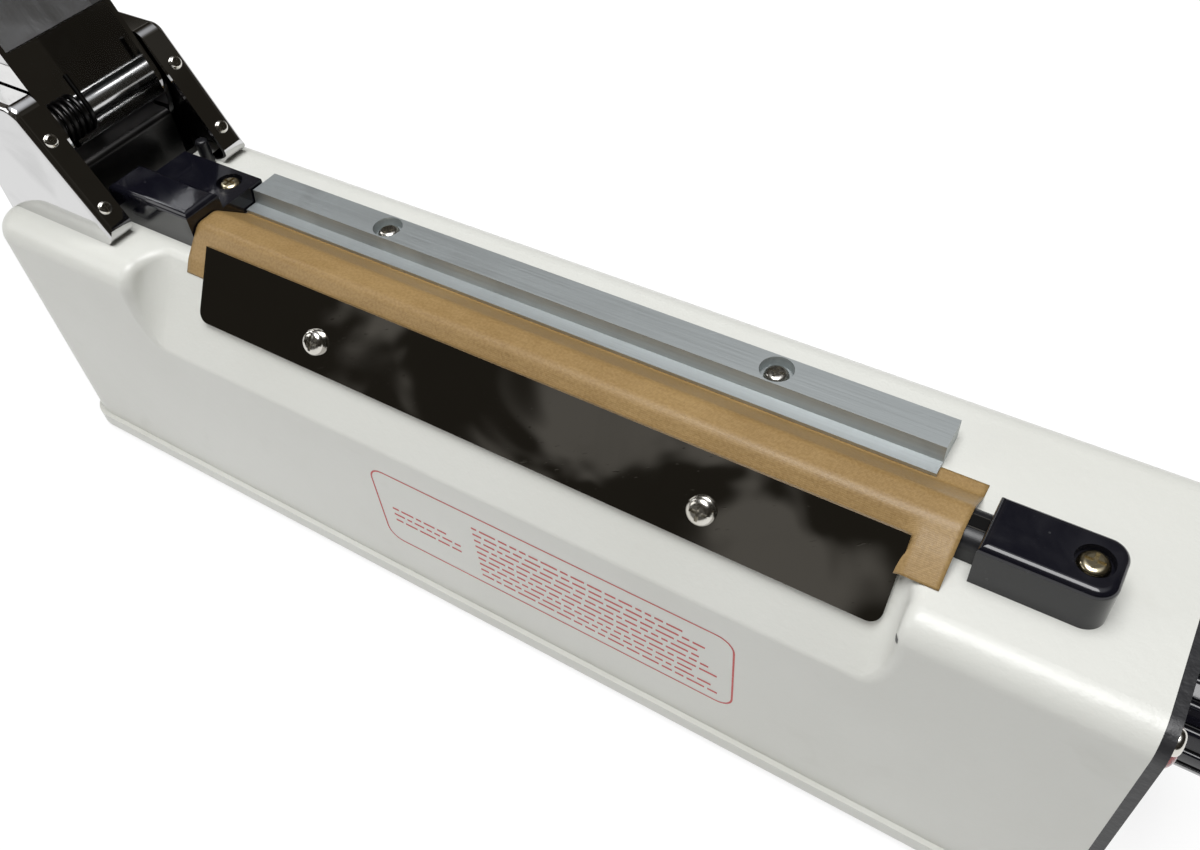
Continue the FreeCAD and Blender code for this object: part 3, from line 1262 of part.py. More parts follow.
def transformer_screws():
    length = STRAP_SHEET + BASE_SHEET
    return Part.makeCompound([pan_screw(SMALL_SCREW, p, UP, length) for p in strap_screw_places()])


def board_standoffs():
    return Part.makeCompound([rod(p, UP, STANDOFF_RADIUS, STANDOFF_HEIGHT) for p in standoff_places()])


def board_top():
    return BASE_TOP + STANDOFF_HEIGHT + BOARD_THICKNESS


def timer_board():
    return block(BOARD_X - BOARD_LENGTH / 2, BOARD_X + BOARD_LENGTH / 2, -BOARD_WIDTH / 2, BOARD_WIDTH / 2,
                 board_top() - BOARD_THICKNESS, board_top())


def timer_relay():
    length, width, height = RELAY_SIZE
    x = BOARD_X + RELAY_OFFSET[0]
    y = RELAY_OFFSET[1]
    low = board_top()
    return block(x - length / 2, x + length / 2, y - width / 2, y + width / 2, low, low + height)


def timer_capacitor():
    x, y = CAPACITOR_OFFSET
    return rod(vec(BOARD_X + x, y, board_top()), UP, CAPACITOR_RADIUS, CAPACITOR_HEIGHT)


FIXED = [housing, base_plate, base_screws, rubber_feet, feet_screws, end_plate, end_plate_screws, dial_plate,
         potentiometer, pot_nut, indicator_lamp, lamp_lens, cord_inlet, fuse_holder, fuse_cap, hinge_bracket,
         bracket_screws, post_screws, hinge_pin, pin_clips, return_spring, left_terminal_block,
         right_terminal_block, terminal_screws, seal_bar, insulation_tape, heating_element, ptfe_cloth,
         clamp_strip, clamp_strip_screws, front_guard, front_guard_screws, micro_switch, switch_bracket,
         transformer_core, transformer_coil, transformer_strap, transformer_screws, board_standoffs,
         timer_board, timer_relay, timer_capacitor, pot_shaft, timer_knob, switch_push_rod]
ON_ARM = [arm_channel, press_carrier, carrier_screws, press_bar, press_bar_screws, silicone_strip, arm_grip,
          grip_screws]


def all_nodes():
    nodes = {make.__name__: make() for make in FIXED}
    nodes["hinge_post_near"] = post(-1)
    nodes["hinge_post_far"] = post(1)
    for make in ON_ARM:
        nodes[make.__name__] = thrown_back(make())
    return nodes


os.makedirs("parts", exist_ok=True)
for name, shape in all_nodes().items():
    shape.exportStep("parts/" + name + ".step")
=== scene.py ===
"""Looks of a bench heat sealer: its finishes, seal cloth, spring, front print, dial marks and studio."""

from __future__ import annotations

import logging
import math
import random
from abc import ABC, abstractmethod
from dataclasses import dataclass, field
from enum import Enum
from typing import Any, Dict, List, Optional, Sequence, Tuple, Union

import bmesh
import bpy
from mathutils import Matrix, Vector

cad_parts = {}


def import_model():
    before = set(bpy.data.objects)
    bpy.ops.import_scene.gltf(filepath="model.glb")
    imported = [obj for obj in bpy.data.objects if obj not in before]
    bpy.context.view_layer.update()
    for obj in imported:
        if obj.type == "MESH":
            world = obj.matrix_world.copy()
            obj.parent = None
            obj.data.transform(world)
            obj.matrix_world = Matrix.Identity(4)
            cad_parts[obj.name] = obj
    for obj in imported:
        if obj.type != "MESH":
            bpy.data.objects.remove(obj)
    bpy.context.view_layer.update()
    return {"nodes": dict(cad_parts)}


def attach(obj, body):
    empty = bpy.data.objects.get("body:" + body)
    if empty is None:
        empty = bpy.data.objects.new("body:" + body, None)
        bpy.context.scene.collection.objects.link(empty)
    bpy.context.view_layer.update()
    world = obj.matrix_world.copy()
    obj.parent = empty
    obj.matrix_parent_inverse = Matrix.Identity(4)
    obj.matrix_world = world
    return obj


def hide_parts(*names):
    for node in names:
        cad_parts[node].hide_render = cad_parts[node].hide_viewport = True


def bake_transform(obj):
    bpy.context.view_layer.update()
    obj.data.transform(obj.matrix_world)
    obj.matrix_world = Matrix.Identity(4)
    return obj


LOG = logging.getLogger("heat_sealer")
MM = 0.001
ARM_OPEN = 116.0
Colour = Tuple[float, float, float, float]
Point = Tuple[float, float, float]


def rgb(red: float, green: float, blue: float) -> Colour:
    """An opaque colour from linear values."""
    return (red, green, blue, 1.0)


WHITE = rgb(1.0, 1.0, 1.0)


class Wire:
    """One value in a node tree, usable in Python expressions."""

    def __init__(self, bench: Bench, socket: bpy.types.NodeSocket) -> None:
        """Keeps the socket and the tree that it belongs to."""
        self.bench = bench
        self.socket = socket

    def __add__(self, other: Value) -> Wire:
        """Sum."""
        return self.bench.maths("ADD", self, other)

    def __radd__(self, other: Value) -> Wire:
        """Sum, reflected."""
        return self.bench.maths("ADD", other, self)

    def __sub__(self, other: Value) -> Wire:
        """Difference."""
        return self.bench.maths("SUBTRACT", self, other)

    def __rsub__(self, other: Value) -> Wire:
        """Difference, reflected."""
        return self.bench.maths("SUBTRACT", other, self)

    def __mul__(self, other: Value) -> Wire:
        """Product."""
        return self.bench.maths("MULTIPLY", self, other)

    def __abs__(self) -> Wire:
        """Size without sign."""
        return self.bench.maths("ABSOLUTE", self)

    def sine(self) -> Wire:
        """Sine of the value in radians."""
        return self.bench.maths("SINE", self)

    def most(self, other: Value) -> Wire:
        """The greater of two values."""
        return self.bench.maths("MAXIMUM", self, other)

    def clamped(self) -> Wire:
        """The value kept between 0 and 1."""
        return self.bench.wire("ShaderNodeClamp", None, {"Value": self})

    def step(self, low: float, high: float) -> Wire:
        """A soft step from 0 at low to 1 at high.

        Args:
            low: The value at which the step starts.
            high: The value at which it is whole; it may be below low, for a falling step.

        Returns:
            The step, between 0 and 1.
        """
        return self.bench.wire("ShaderNodeMapRange", {"interpolation_type": "SMOOTHSTEP"},
                               {"Value": self, "From Min": low, "From Max": high})


Value = Union[Wire, float]


class Bench:
    """Builds the node tree of one material or world."""

    def __init__(self, tree: bpy.types.NodeTree) -> None:
        """Empties the tree.

        Args:
            tree: The node tree to build in.
        """
        self.tree = tree
        tree.nodes.clear()

    @classmethod
    def for_material(cls, name: str) -> Tuple[Bench, bpy.types.Material]:
        """A bench on a new material.

        Args:
            name: The material's name.

        Returns:
            The bench and the material.
        """
        material = bpy.data.materials.new(name)
        material.use_nodes = True
        return cls(material.node_tree), material

    def node(self, kind: str, settings: Optional[Dict[str, Any]] = None,
             inputs: Optional[Dict[Any, Any]] = None) -> bpy.types.Node:
        """Adds one node.

        Args:
            kind: The node's type.
            settings: Properties set before the sockets.
            inputs: Socket name or number to a value or a Wire.

        Returns:
            The node.
        """
        node = self.tree.nodes.new(kind)
        for key, value in (settings or {}).items():
            setattr(node, key, value)
        for key, value in (inputs or {}).items():
            if isinstance(value, Wire):
                self.tree.links.new(value.socket, node.inputs[key])
            else:
                node.inputs[key].default_value = value
        return node

    def wire(self, kind: str, settings: Optional[Dict[str, Any]] = None,
             inputs: Optional[Dict[Any, Any]] = None, output: Union[int, str] = 0) -> Wire:
        """Adds one node and gives one of its outputs.

        Args:
            kind: The node's type.
            settings: As for node.
            inputs: As for node.
            output: The output's name or number.

        Returns:
            The output as a Wire.
        """
        return Wire(self, self.node(kind, settings, inputs).outputs[output])

    def maths(self, operation: str, *values: Value) -> Wire:
        """A Math node on one or two values."""
        return self.wire("ShaderNodeMath", {"operation": operation}, dict(enumerate(values)))

    def place(self) -> Wire:
        """The point's place in the object's frame, in metres."""
        return self.wire("ShaderNodeTexCoord", output="Object")

    def cloth_map(self) -> Wire:
        """The point's place on a sheet's own UV map."""
        return self.wire("ShaderNodeTexCoord", output="UV")

    def part(self, vector: Wire, axis: int) -> Wire:
        """One number of a vector: 0, 1 or 2."""
        return self.wire("ShaderNodeSeparateXYZ", inputs={0: vector}, output=axis)

    def stretched(self, vector: Wire, scale: Point, turn: Point = (0.0, 0.0, 0.0)) -> Wire:
        """A vector turned, then scaled along each axis.

        Args:
            vector: The vector.
            scale: Its scale along X, Y and Z.
            turn: Euler angles in degrees.

        Returns:
            The new vector.
        """
        angles = tuple(math.radians(a) for a in turn)
        turned = self.wire("ShaderNodeMapping", {"vector_type": "TEXTURE"},
                           {"Vector": vector, "Rotation": angles})
        return self.wire("ShaderNodeVectorMath", {"operation": "MULTIPLY"}, {0: turned, 1: scale})

    def noise(self, vector: Wire, scale: float, detail: float = 2.0, warp: float = 0.0) -> Wire:
        """Smooth noise from 0 to 1.

        Args:
            vector: Where it is read.
            scale: Grains per unit of the vector.
            detail: Finer layers added.
            warp: How much it is twisted.

        Returns:
            The noise.
        """
        return self.wire("ShaderNodeTexNoise", None,
                         {"Vector": vector, "Scale": scale, "Detail": detail, "Distortion": warp}, "Fac")

    def cells(self, vector: Wire, scale: float) -> Wire:
        """Distance to the nearest of scattered points, in cells."""
        return self.wire("ShaderNodeTexVoronoi", None, {"Vector": vector, "Scale": scale}, "Distance")

    def tone(self, factor: Value, first: Any, second: Any) -> Wire:
        """A colour between two.

        Args:
            factor: 0 for the first colour and 1 for the second.
            first: A colour or a Wire.
            second: A colour or a Wire.

        Returns:
            The mixed colour.
        """
        node = self.node("ShaderNodeMix", {"data_type": "RGBA"}, {0: factor, 6: first, 7: second})
        return Wire(self, node.outputs[2])

    def relief(self, height: Value, depth: float, strength: float) -> Wire:
        """A bumped normal.

        Args:
            height: The height from 0 to 1.
            depth: What height 1 stands for, in metres.
            strength: How much of it shows.

        Returns:
            The normal.
        """
        return self.wire("ShaderNodeBump", None,
                         {"Height": height, "Distance": depth, "Strength": strength})

    def surface(self, sockets: Dict[str, Any]) -> None:
        """Ends the tree in a Principled shader.

        Args:
            sockets: The shader's sockets that differ from its defaults.
        """
        shader = self.wire("ShaderNodeBsdfPrincipled", None, sockets)
        self.node("ShaderNodeOutputMaterial", None, {"Surface": shader})


class Coating(ABC):
    """A finish that can be made into a material."""

    @abstractmethod
    def lay(self, bench: Bench) -> None:
        """Builds the finish's nodes.

        Args:
            bench: Its material's bench.
        """

    def paint(self, name: str) -> bpy.types.Material:
        """Makes the material.

        Args:
            name: The material's name.

        Returns:
            The material.
        """
        bench, material = Bench.for_material(name)
        self.lay(bench)
        return material


class Grain(Enum):
    """Which way a metal's fine lines run."""

    NONE = (1.0, 1.0, 1.0)
    ALONG_X = (0.02, 1.0, 1.0)
    ALONG_Y = (1.0, 0.02, 1.0)


@dataclass(frozen=True)
class PowderCoat(Coating):
    """Baked paint with a fine orange peel, and a chip where an edge was knocked."""

    tint: Colour
    soiled: Colour
    gloss: float
    peel: float
    chip: Optional[Point] = None
    chip_size: Tuple[float, float] = (0.0011, 0.0007)
    chip_ragged: float = 0.0012
    chip_depth: float = 2.0
    chip_colour: Colour = rgb(0.02, 0.02, 0.025)
    peel_depth: float = 0.00022

    def lay(self, bench: Bench) -> None:
        """Builds the finish's nodes.

        Args:
            bench: Its material's bench.
        """
        place = bench.place()
        broad = bench.noise(place, scale=14.0, detail=3.0)
        grime = bench.noise(place, scale=60.0, detail=5.0, warp=0.6).step(0.62, 0.8)
        colour = bench.tone(broad.step(0.35, 0.75) * 0.5 + grime * 0.35, self.tint, self.soiled)
        coarse = bench.noise(place, scale=420.0)
        fine = bench.noise(place, scale=1500.0, detail=1.0)
        peel = coarse * 0.75 + fine * 0.25
        height = peel
        if self.chip is not None:
            away = bench.wire("ShaderNodeVectorMath", {"operation": "DISTANCE"},
                              {0: place, 1: self.chip}, "Value")
            ragged = away + (bench.noise(place, scale=900.0) - 0.5) * self.chip_ragged
            chip = ragged.step(*self.chip_size)
            colour = bench.tone(chip, colour, self.chip_colour)
            height = peel - chip * self.chip_depth
        bench.surface({"Base Color": colour, "Roughness": self.gloss + broad * 0.08 + grime * 0.08,
                       "Normal": bench.relief(height, self.peel_depth * self.peel, strength=0.6)})


@dataclass(frozen=True)
class BrightMetal(Coating):
    """Polished, plated or drawn metal with fine lines, smudges and hair scratches."""

    tint: Colour
    dull: Colour
    gloss: float
    smear: float
    grain: Grain = Grain.NONE
    lines: float = 0.0
    turn: Point = (0.0, 0.0, 0.0)
    scratch: Point = (0.05, 1.0, 0.4)
    scratch_turn: Point = (20.0, 10.0, 34.0)
    line_depth: float = 0.00005

    def lay(self, bench: Bench) -> None:
        """Builds the finish's nodes.

        Args:
            bench: Its material's bench.
        """
        place = bench.place()
        smudge = bench.noise(place, scale=45.0, detail=4.0, warp=0.8).step(0.45, 0.8)
        drawn = bench.noise(bench.stretched(place, self.grain.value, self.turn), scale=1800.0, detail=3.0)
        scratched = bench.stretched(place, self.scratch, self.scratch_turn)
        hair = bench.noise(scratched, scale=1400.0, detail=1.0).step(0.7, 0.78)
        colour = bench.tone(smudge * 0.55 + drawn * self.lines * 0.5, self.tint, self.dull)
        rough = self.gloss + smudge * self.smear + drawn * self.lines * 0.25 + hair * self.smear * 0.5
        height = drawn * self.lines + hair * self.smear
        bench.surface({"Base Color": colour, "Roughness": rough, "Metallic": 1.0,
                       "Normal": bench.relief(height, self.line_depth, strength=0.5)})


@dataclass(frozen=True)
class Moulding(Coating):
    """Moulded plastic or rubber with dust, handling marks and a fine skin."""

    tint: Colour
    dust: Colour
    gloss: float
    skin: float
    depth: float
    specks: float
    coat: float = 0.0

    def lay(self, bench: Bench) -> None:
        """Builds the finish's nodes.

        Args:
            bench: Its material's bench.
        """
        place = bench.place()
        handled = bench.noise(place, scale=70.0, detail=4.0, warp=0.5).step(0.45, 0.75)
        patch = bench.noise(place, scale=120.0).step(0.5, 0.62)
        fleck = bench.cells(place, scale=420.0).step(0.16, 0.06) * patch
        colour = bench.tone(fleck * self.specks + handled * 0.12, self.tint, self.dust)
        skin = bench.noise(place, self.skin)
        bench.surface({"Base Color": colour, "Roughness": self.gloss + handled * 0.08 + fleck * 0.2,
                       "Coat Weight": self.coat, "Normal": bench.relief(skin, self.depth, strength=0.5)})


@dataclass(frozen=True)
class CoatedWeave(Coating):
    """Glass cloth in a brown slip coating, its threads following the sheet's own map."""

    tint: Colour
    worn: Colour
    thread: float
    gloss: float
    coat: float
    slub: Point = (1.0, 14.0, 1.0)
    thread_depth: float = 0.00008

    def lay(self, bench: Bench) -> None:
        """Builds the finish's nodes.

        Args:
            bench: Its material's bench.
        """
        sheet = bench.cloth_map()
        turns = 2.0 * math.pi / self.thread
        along = (bench.part(sheet, 0) * turns).sine()
        across = (bench.part(sheet, 1) * turns).sine()
        over = (along * across).step(-0.25, 0.25)
        ribs = abs(along) * over + abs(across) * (1.0 - over)
        slub = bench.noise(bench.stretched(sheet, self.slub), scale=90.0, detail=3.0)
        mottle = bench.noise(sheet, scale=160.0, detail=4.0, warp=0.4)
        wear = bench.noise(sheet, scale=22.0, detail=3.0).step(0.4, 0.75)
        grain = bench.noise(sheet, scale=1300.0, detail=1.0).step(0.3, 0.7)
        shade = wear * 0.35 + mottle * 0.3 + slub * 0.3 + ribs * 0.12 + (grain - 0.5) * 0.3
        colour = bench.tone(shade.clamped(), self.tint, self.worn)
        height = ribs * 0.4 + grain * 0.2
        bench.surface({"Base Color": colour, "Roughness": self.gloss + mottle * 0.16 - wear * 0.05,
                       "Coat Weight": self.coat,
                       "Normal": bench.relief(height, self.thread_depth, strength=0.7)})


@dataclass(frozen=True)
class Layered(Coating):
    """Thin layers seen edge on: core plates, or wire wound side by side."""

    tint: Colour
    gap: Colour
    pitch: float
    axis: int
    gloss: float
    metal: float

    def lay(self, bench: Bench) -> None:
        """Builds the finish's nodes.

        Args:
            bench: Its material's bench.
        """
        place = bench.place()
        level = (bench.part(place, self.axis) * (2.0 * math.pi / self.pitch)).sine()
        ridge = level.step(-0.9, 0.3)
        stain = bench.noise(place, scale=120.0, detail=3.0)
        colour = bench.tone(1.0 - ridge * (0.65 + stain * 0.35), self.tint, self.gap)
        bench.surface({"Base Color": colour, "Roughness": self.gloss + stain * 0.2, "Metallic": self.metal,
                       "Normal": bench.relief(ridge, depth=self.pitch * 0.2, strength=0.6)})


@dataclass(frozen=True)
class BoardMask(Coating):
    """A circuit board's green mask over copper tracks."""

    tint: Colour
    track: Colour
    pitch: float

    def lay(self, bench: Bench) -> None:
        """Builds the finish's nodes.

        Args:
            bench: Its material's bench.
        """
        place = bench.place()
        bend = bench.noise(place, scale=40.0, detail=0.0) * 3.0
        runs = (bench.part(place, 1) * (2.0 * math.pi / self.pitch) + bend).sine().step(0.3, 0.5)
        blotch = bench.noise(place, scale=200.0)
        colour = bench.tone(runs * 0.7 + blotch * 0.2, self.tint, self.track)
        bench.surface({"Base Color": colour, "Roughness": 0.3 + blotch * 0.15,
                       "Normal": bench.relief(runs, depth=0.00004, strength=0.6)})


@dataclass(frozen=True)
class ClearCap(Coating):
    """A tinted clear plastic cap with moulded ribs inside, at a rate in radians per metre."""

    tint: Colour
    deep: Colour
    rib_rate: float = 9000.0

    def lay(self, bench: Bench) -> None:
        """Builds the finish's nodes.

        Args:
            bench: Its material's bench.
        """
        place = bench.place()
        ribs = (bench.part(place, 1) * self.rib_rate).sine().step(-0.6, 0.6)
        cloud = bench.noise(place, scale=300.0)
        colour = bench.tone(ribs * 0.5 + cloud * 0.3, self.tint, self.deep)
        bench.surface({"Base Color": colour, "Roughness": 0.08 + cloud * 0.06, "Coat Weight": 0.5,
                       "Transmission Weight": 0.35,
                       "Normal": bench.relief(ribs, depth=0.0001, strength=0.4)})


@dataclass(frozen=True)
class PrintInk(Coating):
    """Screen-printed ink, a little uneven and worn through in places."""

    tint: Colour
    worn: Colour

    def lay(self, bench: Bench) -> None:
        """Builds the finish's nodes.

        Args:
            bench: Its material's bench.
        """
        place = bench.place()
        patchy = bench.noise(place, scale=700.0, detail=3.0).step(0.5, 0.8)
        cloud = bench.noise(place, scale=90.0)
        colour = bench.tone(patchy * 0.6 + cloud * 0.2, self.tint, self.worn)
        bench.surface({"Base Color": colour, "Roughness": 0.4 + patchy * 0.15,
                       "Normal": bench.relief(patchy, depth=0.00002, strength=0.4)})


class Finish(Enum):
    """The sealer's finishes."""

    WHITE_PAINT = PowderCoat(tint=rgb(0.75, 0.755, 0.71), soiled=rgb(0.67, 0.672, 0.62), gloss=0.30,
                             peel=1.0, chip=(0.1225, -0.0335, 0.0856))
    BLACK_PAINT = PowderCoat(tint=rgb(0.02, 0.02, 0.022), soiled=rgb(0.035, 0.034, 0.033), gloss=0.38,
                             peel=1.4)
    CHROME = BrightMetal(tint=rgb(0.62, 0.62, 0.62), dull=rgb(0.42, 0.42, 0.42), gloss=0.045, smear=0.06)
    MIRROR = BrightMetal(tint=rgb(0.52, 0.51, 0.49), dull=rgb(0.42, 0.41, 0.39), gloss=0.025, smear=0.05)
    EXTRUDED = BrightMetal(tint=rgb(0.53, 0.565, 0.57), dull=rgb(0.37, 0.395, 0.40), gloss=0.42, smear=0.12,
                           grain=Grain.ALONG_X, lines=1.0)
    ARM_EXTRUDED = BrightMetal(tint=rgb(0.66, 0.67, 0.69), dull=rgb(0.5, 0.51, 0.53), gloss=0.28,
                               smear=0.10, grain=Grain.ALONG_X, lines=0.6, turn=(0.0, -ARM_OPEN, 0.0))
    ZINC = BrightMetal(tint=rgb(0.56, 0.57, 0.58), dull=rgb(0.40, 0.41, 0.41), gloss=0.24, smear=0.14,
                       grain=Grain.ALONG_Y, lines=0.35)
    GROUND = BrightMetal(tint=rgb(0.64, 0.64, 0.64), dull=rgb(0.48, 0.48, 0.48), gloss=0.14, smear=0.10,
                         grain=Grain.ALONG_Y, lines=0.4)
    BLACKED = BrightMetal(tint=rgb(0.035, 0.034, 0.034), dull=rgb(0.07, 0.065, 0.06), gloss=0.3, smear=0.12)
    NICKEL = BrightMetal(tint=rgb(0.66, 0.64, 0.59), dull=rgb(0.46, 0.43, 0.37), gloss=0.16, smear=0.12)
    BRASS = BrightMetal(tint=rgb(0.66, 0.58, 0.40), dull=rgb(0.42, 0.34, 0.20), gloss=0.2, smear=0.14)
    GLOSS_BLACK = Moulding(tint=rgb(0.006, 0.006, 0.010), dust=rgb(0.09, 0.09, 0.095), gloss=0.10,
                           skin=260.0, depth=0.00003, specks=0.35, coat=0.12)
    SATIN_BLACK = Moulding(tint=rgb(0.010, 0.010, 0.012), dust=rgb(0.07, 0.07, 0.07), gloss=0.36,
                           skin=900.0, depth=0.00003, specks=0.4)
    RUBBER = Moulding(tint=rgb(0.014, 0.014, 0.014), dust=rgb(0.10, 0.095, 0.09), gloss=0.6, skin=1300.0,
                      depth=0.00005, specks=0.6)
    SILICONE = Moulding(tint=rgb(0.55, 0.16, 0.075), dust=rgb(0.62, 0.35, 0.25), gloss=0.5, skin=700.0,
                        depth=0.00004, specks=0.35)
    PALE_PLASTIC = Moulding(tint=rgb(0.66, 0.66, 0.61), dust=rgb(0.5, 0.48, 0.42), gloss=0.42, skin=800.0,
                            depth=0.00003, specks=0.3)
    SLEEVE = Moulding(tint=rgb(0.02, 0.035, 0.12), dust=rgb(0.2, 0.22, 0.3), gloss=0.2, skin=600.0,
                      depth=0.00002, specks=0.3, coat=0.2)
    TAPE = Moulding(tint=rgb(0.022, 0.019, 0.016), dust=rgb(0.06, 0.045, 0.03), gloss=0.5, skin=1600.0,
                    depth=0.00004, specks=0.2)
    CLOTH = CoatedWeave(tint=rgb(0.235, 0.14, 0.045), worn=rgb(0.43, 0.285, 0.118), thread=0.0009,
                        gloss=0.38, coat=0.06)
    CORE = Layered(tint=rgb(0.16, 0.16, 0.17), gap=rgb(0.05, 0.035, 0.025), pitch=0.0010, axis=1,
                   gloss=0.45, metal=0.8)
    WINDING = Layered(tint=rgb(0.52, 0.24, 0.09), gap=rgb(0.2, 0.08, 0.03), pitch=0.0009, axis=2, gloss=0.3,
                      metal=0.7)
    BOARD = BoardMask(tint=rgb(0.02, 0.15, 0.06), track=rgb(0.08, 0.3, 0.13), pitch=0.004)
    LENS = ClearCap(tint=rgb(0.62, 0.02, 0.015), deep=rgb(0.3, 0.0, 0.0))
    RED_INK = PrintInk(tint=rgb(0.56, 0.045, 0.04), worn=rgb(0.66, 0.22, 0.2))
    DARK_INK = PrintInk(tint=rgb(0.02, 0.02, 0.022), worn=rgb(0.1, 0.1, 0.1))
    PALE_INK = PrintInk(tint=rgb(0.78, 0.78, 0.76), worn=rgb(0.6, 0.6, 0.58))


class Paintshop:
    """Makes each finish once and puts it on pieces."""

    def __init__(self, nodes: Dict[str, bpy.types.Object]) -> None:
        """Keeps the CAD nodes.

        Args:
            nodes: Node name to object.
        """
        self.nodes = nodes
        self.made: Dict[Finish, bpy.types.Material] = {}

    def finish(self, which: Finish) -> bpy.types.Material:
        """The material of a finish, made on first use."""
        if which not in self.made:
            self.made[which] = which.value.paint(which.name.lower())
        return self.made[which]

    def coat(self, piece: bpy.types.Object, which: Finish) -> None:
        """Puts one finish all over a piece."""
        piece.data.materials.clear()
        piece.data.materials.append(self.finish(which))

    def coat_nodes(self, coats: Dict[str, Finish]) -> None:
        """Puts finishes on CAD nodes.

        Args:
            coats: Node name to finish.
        """
        for name, which in coats.items():
            node = self.nodes[name]
            for slot in node.material_slots:
                slot.material = self.finish(which)
            LOG.info("dressed %s in %s", name, which.name.lower())


def new_piece(name: str, mesh: bmesh.types.BMesh, smooth: bool = True) -> bpy.types.Object:
    """Turns a bmesh into an object of the scene.

    Args:
        name: The piece's name.
        mesh: Its shape, in the shared frame; it is freed.
        smooth: Whether faces are shaded smooth.

    Returns:
        The object.
    """
    data = bpy.data.meshes.new(name)
    for face in mesh.faces:
        face.smooth = smooth
    mesh.to_mesh(data)
    mesh.free()
    piece = bpy.data.objects.new(name, data)
    bpy.context.scene.collection.objects.link(piece)
    LOG.info("made %s with %d faces", name, len(data.polygons))
    return piece


@dataclass(frozen=True)
class Column:
    """A column of the front print, in millimetres: its ends, its rows and how far down it starts."""

    left: float
    right: float
    rows: int
    indent: float


@dataclass
class Shell:
    """The housing with its base, end plate, rear fittings and front print."""

    front: float = -35.0 * MM
    print_left: float = -27.0 * MM
    print_right: float = 87.5 * MM
    print_low: float = 24.0 * MM
    print_high: float = 56.5 * MM
    print_corner: float = 5.0 * MM
    line: float = 0.55 * MM
    corner_steps: int = 6
    row_weight: float = 0.8 * MM
    # The row's pitch, ragged end, words and gaps are in millimetres, as a Column is.
    row_pitch: float = 2.75
    ragged: float = 12.0
    word: Tuple[float, float] = (1.6, 6.0)
    word_gap: float = 0.9
    columns: Tuple[Column, ...] = (
        Column(left=-22.0, right=2.0, rows=3, indent=16.0),
        Column(left=8.0, right=83.0, rows=9, indent=6.2))
    seed: int = 7
    ink: float = 0.04 * MM
    coats: Dict[str, Finish] = field(default_factory=lambda: {
        "housing": Finish.WHITE_PAINT, "base_plate": Finish.WHITE_PAINT, "base_screws": Finish.NICKEL,
        "rubber_feet": Finish.RUBBER, "feet_screws": Finish.NICKEL, "end_plate": Finish.BLACK_PAINT,
        "end_plate_screws": Finish.NICKEL, "cord_inlet": Finish.RUBBER, "fuse_holder": Finish.SATIN_BLACK,
        "fuse_cap": Finish.SATIN_BLACK})

    def panel(self, mesh: bmesh.types.BMesh, across: Tuple[float, float],
              upward: Tuple[float, float]) -> List[bmesh.types.BMVert]:
        """Adds one flat face on the housing's front.

        Args:
            mesh: Where it is added.
            across: The X of its left and right ends.
            upward: The Z of its lower and upper edges.

        Returns:
            Its corners.
        """
        (left, right), (low, high) = across, upward
        middle = Vector(((left + right) / 2, self.front - self.ink, (low + high) / 2))
        upright = Matrix.LocRotScale(middle, Matrix.Rotation(math.pi / 2, 3, "X"), None)
        corners = bmesh.ops.create_grid(mesh, x_segments=1, y_segments=1, size=0.5, matrix=upright)["verts"]
        bmesh.ops.scale(mesh, vec=(right - left, 1.0, high - low), space=Matrix.Translation(-middle),
                        verts=corners)
        return corners

    def frame_line(self, mesh: bmesh.types.BMesh) -> None:
        """Adds a rounded frame of thin line.

        Args:
            mesh: Where it is added.
        """
        corners = self.panel(mesh, (self.print_left, self.print_right), (self.print_low, self.print_high))
        bmesh.ops.bevel(mesh, geom=corners, offset=self.print_corner, segments=self.corner_steps,
                        profile=0.5, affect="VERTICES", material=-1)
        whole = list(mesh.faces)
        bmesh.ops.inset_region(mesh, faces=whole, thickness=self.line, use_even_offset=True,
                               use_boundary=True)
        bmesh.ops.delete(mesh, geom=whole, context="FACES")

    def rules(self, mesh: bmesh.types.BMesh) -> None:
        """Adds broken rows of plain rules in two columns.

        Args:
            mesh: Where they are added.
        """
        chance = random.Random(self.seed)
        for column in self.columns:
            for row in range(column.rows):
                height = self.print_high - (column.indent + row * self.row_pitch) * MM
                upward = (height - self.row_weight / 2, height + self.row_weight / 2)
                x = column.left
                end = column.right - chance.uniform(0.0, self.ragged)
                while x < end:
                    word = chance.uniform(*self.word)
                    self.panel(mesh, (x * MM, min(x + word, column.right) * MM), upward)
                    x += word + self.word_gap

    def build(self, shop: Paintshop) -> None:
        """Dresses the shell and prints its front.

        Args:
            shop: Where finishes come from.
        """
        shop.coat_nodes(self.coats)
        mesh = bmesh.new()
        self.frame_line(mesh)
        self.rules(mesh)
        piece = new_piece("front_print", mesh, smooth=False)
        shop.coat(piece, Finish.RED_INK)
        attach(piece, "base")


